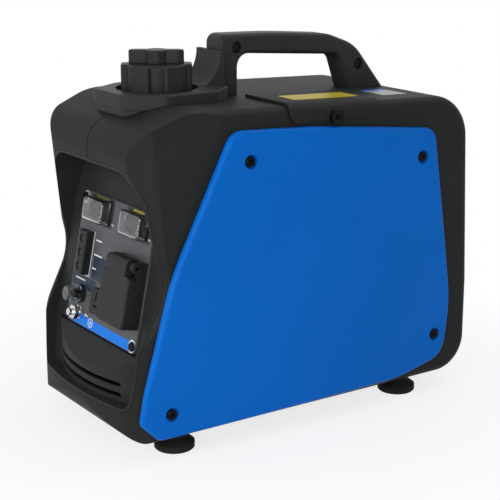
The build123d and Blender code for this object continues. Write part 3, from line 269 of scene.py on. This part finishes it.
# Steel, turned and ground: bright grey
turned_steel = metal(
    "steel_turned", "9d9d9f", "aeaeb0",
    rough=0.3, grain_mm=0.5, depth_mm=0.01, edge_mm=0.2,
)

# A wave texture of scale 1 runs through this angle, in radians, in one metre
WAVE_TURN = 20.0


def laminated(name, dark, light, rough, sheet_mm, depth_mm):
    """Varnished electrical steel, stacked: fine sheet edges along the crank axis."""
    material, tree, shader, place = blank(name)
    stack = add(
        tree, "ShaderNodeTexWave", [("Vector", place, "Object")],
        bands_direction="X", Scale=2 * math.pi / (WAVE_TURN * sheet_mm * MM), Distortion=0.4, Detail=1.0,
    )
    tinted(tree, shader, stack, "Fac", dark, light, low=0.2, high=0.8)
    bump = add(
        tree, "ShaderNodeBump", [("Height", stack, "Fac")],
        Strength=SHEET_STRENGTH, Distance=depth_mm * MM,
    )
    tree.links.new(bump.outputs["Normal"], shader.inputs["Normal"])
    shader.inputs["Metallic"].default_value = 1.0
    shader.inputs["Roughness"].default_value = rough
    return material


# Sheets are 0.5 mm in life; drawn at 1 mm so that they show
stator_steel = laminated(
    "electrical_steel_varnished_stack", "3d3a36", "6a6762",
    rough=0.4, sheet_mm=1.0, depth_mm=0.1,
)


def clear(name, dark, light, rough, ior, ripple_mm, depth_mm):
    """A clear moulded elastomer: light passes through, bent a little by slow ripples of the mould."""
    material, tree, shader, place = blank(name)
    ripple = add(
        tree, "ShaderNodeTexNoise", [("Vector", place, "Object")],
        Scale=1 / (ripple_mm * MM), Detail=RIPPLE_DETAIL,
    )
    tinted(tree, shader, ripple, "Fac", dark, light)
    bump = add(
        tree, "ShaderNodeBump", [("Height", ripple, "Fac")],
        Strength=RIPPLE_STRENGTH, Distance=depth_mm * MM,
    )
    tree.links.new(bump.outputs["Normal"], shader.inputs["Normal"])
    shader.inputs["Transmission Weight"].default_value = 1.0
    shader.inputs["Roughness"].default_value = rough
    shader.inputs["IOR"].default_value = ior
    return material


# Silicone, moulded clear: soft sheen, milky rims
boot_silicone = clear(
    "silicone_clear_moulded", "dfe4e7", "f4f6f7",
    rough=0.04, ior=1.41, ripple_mm=6.0, depth_mm=0.04,
)

FINISHES = {
    casing_abs: "right_casing left_casing maintenance_cover",
    frame_abs: "front_frame",
    cover_abs: "right_side_cover left_side_cover",
    handle_pa: "right_handle_half left_handle_half filler_deck",
    black_pp: "fuel_cap fuel_cap_vent_knob recoil_grip choke_knob cooling_fan fan_shroud recoil_housing"
    " recoil_reel air_filter_housing valve_cover",
    outlet_nylon: "ac_outlet_base ac_receptacle ac_outlet_lid lamp_bar dc_socket dc_breaker_body"
    " dc_breaker_button engine_switch_body engine_switch_rocker economy_switch_body economy_switch_rocker",
    panel_film: "control_panel",
    boot_silicone: "engine_switch_boot economy_switch_boot dc_breaker_boot",
    foot_rubber: "rubber_feet engine_mounts fuel_cap_liner spark_plug_cap",
    screw_oxide: "side_cover_screws handle_screws control_panel_screws maintenance_cover_screw ac_lid_pin",
    chrome_plate: "ground_terminal ground_nut",
    lens_acrylic: "lamp_lenses",
    tank_pe: "fuel_tank",
    cast_aluminium: "crankcase cylinder_barrel cylinder_head carburettor inverter_module",
    turned_steel: "crankshaft main_bearings rotor spark_plug",
    stator_steel: "stator",
    muffler_paint: "muffler",
    hose_nitrile: "fuel_hose",
}
for finish, names in FINISHES.items():
    for name in names.split():
        NODES[name].data.materials.clear()
        NODES[name].data.materials.append(finish)


# Small pieces that sit on the solids: sizes and places in millimetres


def piece(name, points, faces, finish, body="base"):
    """One mesh piece, its points in metres, that moves with a body."""
    mesh = bpy.data.meshes.new(name)
    mesh.from_pydata(points, [], faces)
    mesh.validate()
    mesh.materials.append(finish)
    made = bpy.data.objects.new(name, mesh)
    bpy.context.scene.collection.objects.link(made)
    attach(made, body)
    return made


def slab(name, lower, upper, finish):
    """A thin plate between two outlines with the same count of points."""
    count = len(lower)
    faces = [tuple(range(count, 2 * count)), tuple(reversed(range(count)))]
    faces += [(i, (i + 1) % count, count + (i + 1) % count, count + i) for i in range(count)]
    return piece(name, list(lower) + list(upper), faces, finish)


def rounded(left, low, right, high, corner, steps=5):
    """A rectangle with rounded corners, counter-clockwise, as points across and up."""
    near, far = left + corner, right - corner
    foot, head = low + corner, high - corner
    points = []
    for turn, (across, up) in enumerate(((far, foot), (far, head), (near, head), (near, foot))):
        for step in range(steps + 1):
            angle = math.radians(90 * (turn - 1 + step / steps))
            points.append((across + corner * math.cos(angle), up + corner * math.sin(angle)))
    return points


def circle(across, up, radius, steps):
    """A circle, counter-clockwise, as points across and up."""
    angles = [2 * math.pi * i / steps for i in range(steps)]
    return [(across + radius * math.cos(angle), up + radius * math.sin(angle)) for angle in angles]


# The left cover's front edge, as set back from the casing's front and height
LEFT_COVER_EDGE = ((28.0, 18.5), (10.5, 36.0), (15.0, 60.0), (42.0, 153.0), (99.0, 265.0))
# How far the edge moves, and how far behind it the move fades out
LEFT_COVER_DRAW, LEFT_COVER_REACH = 12.0, 21.0


def drawn_back(place):
    """A point of the left cover, moved to the rear where it lies near the front edge."""
    height = place.z / MM
    for (low_edge, low), (high_edge, high) in zip(LEFT_COVER_EDGE, LEFT_COVER_EDGE[1:]):
        if height <= high:
            break
    edge = low_edge + (high_edge - low_edge) * max(0.0, min(1.0, (height - low) / (high - low)))
    behind = (place.y - CAD_BOX[0][1]) / MM - edge
    share = max(0.0, min(1.0, 1 - behind / LEFT_COVER_REACH))
    return place + Vector((0, LEFT_COVER_DRAW * share * MM, 0))


# The left cover with its front edge drawn back, so that it stays behind the scoop seen from the right
left_cover_mesh = NODES["left_side_cover"].data.copy()
for corner in left_cover_mesh.vertices:
    corner.co = drawn_back(corner.co)
left_cover = bpy.data.objects.new("left_cover_drawn_back", left_cover_mesh)
bpy.context.scene.collection.objects.link(left_cover)
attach(left_cover, "base")
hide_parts("left_side_cover")

# The control panel's face: across, up and out from its middle
PANEL_MIDDLE = Vector((0, -145.5, 140.5))
PANEL_LEAN = math.radians(11.5)
PANEL_UP = Vector((0, math.sin(PANEL_LEAN), math.cos(PANEL_LEAN)))
PANEL_OUT = Vector((0, -math.cos(PANEL_LEAN), math.sin(PANEL_LEAN)))
PANEL_HALF = (60.2, 57.4)
PANEL_CORNER = 5.0
INK_FOOT, INK_THICK = 0.02, 0.1


def on_panel(across, up, out):
    """A place on the panel, in metres."""
    return (PANEL_MIDDLE + Vector((across, 0, 0)) + PANEL_UP * up + PANEL_OUT * out) * MM


def printed(name, outline, shade, layer=0):
    """An ink film on the panel; a higher layer lies on a lower one."""
    foot = INK_FOOT + layer * INK_THICK
    lower = [on_panel(across, up, foot) for across, up in outline]
    upper = [on_panel(across, up, foot + INK_THICK) for across, up in outline]
    return slab(name, lower, upper, ink[shade])


def within_panel(across, up):
    """The same place, or the nearest one on the panel's rounded outline."""
    inner = [
        max(PANEL_CORNER - half, min(half - PANEL_CORNER, x))
        for x, half in zip((across, up), PANEL_HALF)
    ]
    reach = Vector((across - inner[0], up - inner[1]))
    if reach.length > PANEL_CORNER:
        reach = reach.normalized() * PANEL_CORNER
    return inner[0] + reach.x, inner[1] + reach.y


def ringed(name, across, up, inner, outer, thick, finish, slot, layer, steps=32):
    """A flat ring on the panel, cut off where it would pass the panel's outline."""
    points, faces = [], []
    foot = INK_FOOT + layer * INK_THICK
    head = foot + thick
    for radius, height in ((inner, foot), (outer, foot), (outer, head), (inner, head)):
        points += [on_panel(*within_panel(a, b), height) for a, b in circle(across, up, radius, steps)]
    for loop in range(4):
        below, above = loop * steps, (loop + 1) % 4 * steps
        for i in range(steps):
            after = (i + 1) % steps
            faces.append((below + i, below + after, above + after, above + i))
    return piece(name, points, faces, finish)


# Dark fields behind the switches: across and up of each, and the field's reach from there
SWITCHES = {"engine": (-27.0, 45.0), "economy": (36.0, 45.0)}
BACKING_SIDE, BACKING_DOWN, BACKING_UP, BACKING_CORNER = 20.5, 12.5, 12.3, 1.0
for name, (across, up) in SWITCHES.items():
    box = (across - BACKING_SIDE, up - BACKING_DOWN, across + BACKING_SIDE, up + BACKING_UP)
    printed(name + "_switch_backing", rounded(*box, BACKING_CORNER), "dark")

# Printed fields, borders and caption bars: left, low, right and high edges, corner, ink and layer
PRINTS = {
    "engine_switch_caption": ((-38.0, 54.6, -17.0, 55.9), 0.3, "yellow", 1),
    "economy_switch_caption": ((25.0, 55.2, 44.0, 56.3), 0.3, "yellow", 1),
    "economy_switch_caption_lower": ((30.0, 53.4, 39.0, 54.3), 0.3, "yellow", 1),
    "lamp_field": ((-59.5, -1.0, -46.5, 24.0), 0.6, "navy", 0),
    "breaker_field": ((-59.5, -26.0, -19.0, -15.4), 0.6, "navy", 0),
    "socket_field": ((-27.5, -14.6, 14.0, 6.0), 0.6, "navy", 0),
    "lamp_bar_border": ((-46.2, -14.8, -31.2, 25.3), 0.6, "pale", 1),
}
for name, (box, corner, shade, layer) in PRINTS.items():
    printed(name, rounded(*box, corner), shade, layer)

# A round mark and a caption bar for each lamp: height, and the bar's length
LAMP_CAPTIONS = ((19.0, 10.0), (6.4, 14.0), (-5.4, 7.0))
LAMP_BAR_LEFT, LAMP_BAR_HALF, LAMP_BAR_CORNER = -28.5, 0.6, 0.2
LAMP_MARK_ACROSS, LAMP_MARK_RADIUS, LAMP_MARK_STEPS = -51.5, 1.6, 20
for number, (height, long) in enumerate(LAMP_CAPTIONS, start=1):
    box = (LAMP_BAR_LEFT, height - LAMP_BAR_HALF, LAMP_BAR_LEFT + long, height + LAMP_BAR_HALF)
    mark = circle(LAMP_MARK_ACROSS, height, LAMP_MARK_RADIUS, LAMP_MARK_STEPS)
    printed(f"lamp_caption_{number}", rounded(*box, LAMP_BAR_CORNER), "white", layer=1)
    printed(f"lamp_mark_{number}", mark, "white", layer=1)

# Prints below the lamps, in the same terms as those above
LOWER_PRINTS = {
    "breaker_caption": ((-54.0, -19.4, -37.0, -18.3), 0.2, "white", 1),
    "bottom_stripe": ((-48.0, -57.2, 50.0, -48.6), 0.6, "blue", 0),
}
for name, (box, corner, shade, layer) in LOWER_PRINTS.items():
    printed(name, rounded(*box, corner), shade, layer)

# Earth sign: a ring, a stem and three bars that shorten downwards; an arrow beside it
EARTH_ACROSS, EARTH_UP = -17.5, -51.6
EARTH_RING = (3.5, 4.2)
EARTH_STEM_HALF, EARTH_STEM_TALL = 0.25, 2.7
EARTH_BAR_HALVES = (2.2, 1.5, 0.7)
EARTH_BAR_PITCH, EARTH_BAR_RISE = 1.0, 0.3
EARTH_CORNER = 0.1
EARTH_ARROW = (
    (-29.5, -47.2), (-27.3, -45.6), (-27.3, -46.7), (-23.0, -46.7),
    (-23.0, -47.7), (-27.3, -47.7), (-27.3, -48.8),
)
ringed(
    "earth_sign_ring", EARTH_ACROSS, EARTH_UP, *EARTH_RING, INK_THICK,
    ink["white"], "panel_sheet", layer=1,
)
stem_left, stem_right = EARTH_ACROSS - EARTH_STEM_HALF, EARTH_ACROSS + EARTH_STEM_HALF
stem = rounded(stem_left, EARTH_UP, stem_right, EARTH_UP + EARTH_STEM_TALL, EARTH_CORNER)
printed("earth_sign_stem", stem, "white", layer=1)
for number, half in enumerate(EARTH_BAR_HALVES):
    level = EARTH_UP - EARTH_BAR_PITCH * number
    box = (EARTH_ACROSS - half, level - EARTH_BAR_RISE, EARTH_ACROSS + half, level + EARTH_BAR_RISE)
    printed(f"earth_sign_bar_{number + 1}", rounded(*box, EARTH_CORNER), "white", layer=1)
printed("earth_arrow", EARTH_ARROW, "white", layer=1)


def lettered(name, word, across, up, tall):
    """A short word printed white on the panel, in layer 1."""
    text = bpy.data.curves.new(name, "FONT")
    text.body, text.align_x, text.align_y = word, "CENTER", "CENTER"
    text.size, text.extrude = tall * MM, INK_THICK / 2 * MM
    holder = bpy.data.objects.new(name + "_outline", text)
    bpy.context.scene.collection.objects.link(holder)
    bpy.context.view_layer.update()
    solid = holder.evaluated_get(bpy.context.evaluated_depsgraph_get())
    letters = bpy.data.meshes.new_from_object(solid)
    bpy.data.objects.remove(holder)
    # Letters extrude both ways from their middle
    out = INK_FOOT + INK_THICK * 1.5
    points = []
    for corner in letters.vertices:
        aside, rise, depth = corner.co
        points.append(on_panel(across + aside / MM, up + rise / MM, out + depth / MM))
    faces = [tuple(face.vertices) for face in letters.polygons]
    return piece(name, points, faces, ink["white"])


# ON and OFF, from the middle of each switch, and the letters' height
ON_ACROSS = {"engine": 22.0, "economy": 20.2}
ON_UP, ON_TALL = -8.5, 2.6
OFF_ACROSS, OFF_UP, OFF_TALL = -21.0, 2.0, 2.4
for name, (across, up) in SWITCHES.items():
    lettered(name + "_mark_on", "ON", across + ON_ACROSS[name], up + ON_UP, ON_TALL)
    lettered(name + "_mark_off", "OFF", across + OFF_ACROSS, up + OFF_UP, OFF_TALL)

# Pressed washers under the panel's screws
PANEL_SCREWS = {"upper": (-56.0, 52.0), "lower": (56.0, -52.0)}
WASHER_RING, WASHER_THICK, WASHER_LAYER = (4.1, 5.9), 0.5, 2
for name, (across, up) in PANEL_SCREWS.items():
    ringed(
        f"panel_washer_{name}", across, up, *WASHER_RING, WASHER_THICK,
        zinc_plate, "plated_metal", WASHER_LAYER,
    )


# Pieces laid on the casing: each point is dropped on the solid along a ray from outside


def solid_tree(name):
    """A solid's faces, ready to be met by rays."""
    mesh = NODES[name].data
    return BVHTree.FromPolygons([v.co for v in mesh.vertices], [tuple(p.vertices) for p in mesh.polygons])


def drop(tree, start, direction):
    """Where a ray from outside first meets a solid, and the surface's normal there."""
    place, normal = tree.ray_cast(Vector(start) * MM, Vector(direction).normalized())[:2]
    return place, normal


# Where rays start: above or in front of the object, behind it, beside it, and off the panel
ABOVE, BEHIND, BESIDE, OFF_PANEL = 400.0, 300.0, 150.0, 40.0
LABEL_FOOT, LABEL_THICK = 0.03, 0.2


def label(name, node, box, corner, finish, body, rows=24, columns=12):
    """A bare plate stuck on a solid's upper side, bent to it."""
    tree = solid_tree(node)
    left, low, right, high = box
    lower, upper, faces = [], [], []
    for row in range(rows + 1):
        along = low + (high - low) * row / rows
        into = max(0.0, corner - min(along - low, high - along))
        inset = corner - math.sqrt(corner ** 2 - into ** 2)
        for column in range(columns + 1):
            across = left + inset + (right - left - 2 * inset) * column / columns
            place, normal = drop(tree, (across, along, ABOVE), (0, 0, -1))
            lower.append(place + normal * LABEL_FOOT * MM)
            upper.append(place + normal * (LABEL_FOOT + LABEL_THICK) * MM)
    wide, count = columns + 1, len(lower)
    for row in range(rows):
        for column in range(columns):
            first = row * wide + column
            quad = (first, first + 1, first + wide + 1, first + wide)
            faces += [tuple(count + i for i in quad), tuple(reversed(quad))]
    edge = list(range(wide))
    edge += [wide * (row + 1) - 1 for row in range(1, rows + 1)]
    edge += [count - 1 - column for column in range(1, wide)]
    edge += [wide * row for row in range(rows - 1, 0, -1)]
    faces += [(i, j, count + j, count + i) for i, j in zip(edge, edge[1:] + edge[:1])]
    return piece(name, lower + upper, faces, finish, body)


# Bare plates: the solid below, left, front, right and rear edges, corner, finish and body
LABELS = {
    "hatch_plate": ("maintenance_cover", (47.5, -7.0, 73.5, 60.0), 1.5, label_yellow, "hatch"),
    "roof_plate": ("right_casing", (36.0, 96.0, 63.0, 123.0), 1.0, label_silver, "base"),
    "roof_plate_band": ("right_casing", (29.5, 96.0, 35.8, 123.0), 0.6, ink["blue"], "base"),
}
for name, settings in LABELS.items():
    label(name, *settings)

SEAM_WIDTH, SEAM_PROUD = 0.9, 0.03


def seam(name, node, starts, direction):
    """A parting line's painted shadow, as a narrow near-black strip laid on a solid along the rays that
    meet it.
    """
    tree = solid_tree(node)
    hits = [hit for hit in (drop(tree, start, direction) for start in starts) if hit[0] is not None]
    points, faces = [], []
    for place, normal in hits:
        middle = Vector((0, place.y, place.z)) + normal * SEAM_PROUD * MM
        middle.y = min(middle.y, CAD_BOX[1][1])
        points += [middle + Vector((hand * SEAM_WIDTH / 2 * MM, 0, 0)) for hand in (-1, 1)]
    for i in range(len(hits) - 1):
        faces.append((2 * i, 2 * i + 1, 2 * i + 3, 2 * i + 2))
    return piece(name, points, faces, seam_shadow)


# Rays for the seams run just beside the middle; heights of the first ray, step and count
SEAM_ASIDE = 0.3
FRONT_SEAM_LOW, FRONT_SEAM_STEP, FRONT_SEAM_COUNT = 320.6, 0.5, 93
FRONT_SEAM_FALL = 0.35
REAR_SEAM_LOW, REAR_SEAM_STEP, REAR_SEAM_COUNT = 16.0, 2.0, 126
# Painted shadow along the parting line, at the front and at the rear
front_starts = [
    (SEAM_ASIDE, -ABOVE, FRONT_SEAM_LOW + FRONT_SEAM_STEP * i) for i in range(FRONT_SEAM_COUNT)
]
seam("front_parting_line_shadow", "right_casing", front_starts, (0, 1, -FRONT_SEAM_FALL))
rear_starts = [(SEAM_ASIDE, BEHIND, REAR_SEAM_LOW + REAR_SEAM_STEP * i) for i in range(REAR_SEAM_COUNT)]
seam("rear_parting_line_shadow", "right_casing", rear_starts, (0, -1, 0))

# A cross's arm as a share of its span, and its lower and upper face above the screw head
CROSS_ARM = 0.13
CROSS_FOOT, CROSS_HEAD = 0.01, 0.05


def cross_recess(name, node, start, direction, span):
    """The driver's cross in a screw head, a thin slab of painted recess shade laid on the head where a ray
    meets it.
    """
    place, normal = drop(solid_tree(node), start, direction)
    aside = normal.orthogonal().normalized()
    up = normal.cross(aside)
    half, arm = span / 2, span * CROSS_ARM
    outline = [
        (half, -arm), (half, arm), (arm, arm), (arm, half), (-arm, half), (-arm, arm),
        (-half, arm), (-half, -arm), (-arm, -arm), (-arm, -half), (arm, -half), (arm, -arm),
    ]
    flat = [(aside * a + up * b) * MM for a, b in outline]
    lower = [place + normal * CROSS_FOOT * MM + point for point in flat]
    upper = [place + normal * CROSS_HEAD * MM + point for point in flat]
    return slab(name, lower, upper, painted_recess_shade)


# Screws: places along and up on the sides, and the span of each kind's cross
COVER_SCREWS = ((-66.0, 239.0), (-142.0, 40.0), (116.0, 223.0), (137.0, 56.0))
HATCH_SCREW = (21.0, 267.0)
COVER_CROSS, PANEL_CROSS, HATCH_CROSS = 5.6, 4.6, 5.2
for hand, word in ((1, "right"), (-1, "left")):
    for number, place in enumerate(COVER_SCREWS, start=1):
        name = f"{word}_cover_screw_cross_{number}"
        cross_recess(name, "side_cover_screws", (hand * BESIDE, *place), (-hand, 0, 0), COVER_CROSS)
for name, (across, up) in PANEL_SCREWS.items():
    start = on_panel(across, up, OFF_PANEL) / MM
    cross_recess(f"panel_screw_cross_{name}", "control_panel_screws", start, -PANEL_OUT, PANEL_CROSS)
cross_recess(
    "hatch_screw_cross", "maintenance_cover_screw", (BESIDE, *HATCH_SCREW), (-1, 0, 0), HATCH_CROSS,
)


# Camera, from the photograph's own perspective: place in metres, lens and sensor in millimetres

CAMERA_AT = Vector((0.9724, -0.6631, 0.4526))
CAMERA_AZIMUTH, CAMERA_ELEVATION = math.radians(55.8), math.radians(15.1)
CAMERA_LENS, CAMERA_SENSOR = 97.5, 36.0

camera = bpy.data.objects.new("camera", bpy.data.cameras.new("camera"))
bpy.context.scene.collection.objects.link(camera)
back = Vector((
    math.sin(CAMERA_AZIMUTH) * math.cos(CAMERA_ELEVATION),
    -math.cos(CAMERA_AZIMUTH) * math.cos(CAMERA_ELEVATION),
    math.sin(CAMERA_ELEVATION),
))
camera.location = CAMERA_AT
camera.rotation_euler = (-back).to_track_quat("-Z", "Y").to_euler()
camera.data.lens = CAMERA_LENS
camera.data.sensor_width = CAMERA_SENSOR
bpy.context.scene.camera = camera

# Studio, in metres: white floor that keeps a soft shadow, white surround, three soft lamps

bpy.context.scene.view_settings.view_transform = "Standard"

FLOOR_HALF = 6.0
floor_mesh = bpy.data.meshes.new("floor")
floor_signs = ((-1, -1), (1, -1), (1, 1), (-1, 1))
floor_mesh.from_pydata([(FLOOR_HALF * x, FLOOR_HALF * y, 0) for x, y in floor_signs], [], [(0, 1, 2, 3)])
floor = bpy.data.objects.new("floor", floor_mesh)
bpy.context.scene.collection.objects.link(floor)


def shown(tree):
    """1 for what the camera sees directly, in a reflection or through something clear, else 0."""
    rays = add(tree, "ShaderNodeLightPath")
    seen = add(tree, "ShaderNodeMath", operation="MAXIMUM")
    tree.links.new(rays.outputs["Is Camera Ray"], seen.inputs[0])
    tree.links.new(rays.outputs["Is Glossy Ray"], seen.inputs[1])
    through = add(tree, "ShaderNodeMath", operation="MAXIMUM")
    tree.links.new(seen.outputs["Value"], through.inputs[0])
    tree.links.new(rays.outputs["Is Transmission Ray"], through.inputs[1])
    return through


# Matt white paper: plain white far off; near the object a share of it takes the shadow
FLOOR_SHADOW_SHARE = 0.22
FLOOR_SHADOW_NEAR, FLOOR_SHADOW_FAR = 0.16, 0.42
FLOOR_DRIFT_MM, FLOOR_DRIFT_DETAIL = 400.0, 2.0
FLOOR_ROUGH = 0.95
paper, tree, shader, place = blank("paper_white_matt")
drift = add(
    tree, "ShaderNodeTexNoise", [("Vector", place, "Object")],
    Scale=1 / (FLOOR_DRIFT_MM * MM), Detail=FLOOR_DRIFT_DETAIL,
)
tinted(tree, shader, drift, "Fac", "efefef", "f4f4f4")
shader.inputs["Roughness"].default_value = FLOOR_ROUGH
spread = add(tree, "ShaderNodeVectorMath", [("Vector", place, "Object")], operation="LENGTH")
lit = add(
    tree, "ShaderNodeMapRange", [("Value", spread, "Value")],
    From_Min=FLOOR_SHADOW_NEAR, From_Max=FLOOR_SHADOW_FAR, To_Min=1 - FLOOR_SHADOW_SHARE, To_Max=1.0,
)
share = add(tree, "ShaderNodeMath", operation="MULTIPLY")
tree.links.new(shown(tree).outputs["Value"], share.inputs[0])
tree.links.new(lit.outputs["Result"], share.inputs[1])
glow = add(tree, "ShaderNodeEmission", Color=linear("ffffff"), Strength=1.0)
mixed = add(tree, "ShaderNodeMixShader", [("Fac", share, "Value")])
tree.links.new(shader.outputs["BSDF"], mixed.inputs[1])
tree.links.new(glow.outputs["Emission"], mixed.inputs[2])
tree.links.new(mixed.outputs["Shader"], tree.nodes["Material Output"].inputs["Surface"])
floor_mesh.materials.append(paper)

# White where it is seen, and this strength where it lights the object
WORLD_LIGHT = 0.42
world = bpy.data.worlds.new("studio")
bpy.context.scene.world = world
world.use_nodes = True
sky = world.node_tree
level = add(sky, "ShaderNodeMapRange", [("Value", shown(sky), "Value")], To_Min=WORLD_LIGHT, To_Max=1.0)
sky.nodes["Background"].inputs["Color"].default_value = linear("ffffff")
sky.links.new(level.outputs["Result"], sky.nodes["Background"].inputs["Strength"])

# Round soft lamps: place, width in metres and power in watts
LAMPS = {
    "key_lamp": ((0.3, -1.8, 0.7), 1.0, 14.0),
    "side_lamp": ((0.95, -0.8, 0.4), 0.8, 6.0),
    "rear_lamp": ((0.2, 0.9, 1.9), 1.2, 8.0),
}
AIM = Vector((0, 0, 0.15))
for name, (place, size, power) in LAMPS.items():
    lamp = bpy.data.lights.new(name, "AREA")
    lamp.shape, lamp.size, lamp.energy = "DISK", size, power
    holder = bpy.data.objects.new(name, lamp)
    bpy.context.scene.collection.objects.link(holder)
    holder.location = place
    holder.rotation_euler = (AIM - Vector(place)).to_track_quat("-Z", "Y").to_euler()
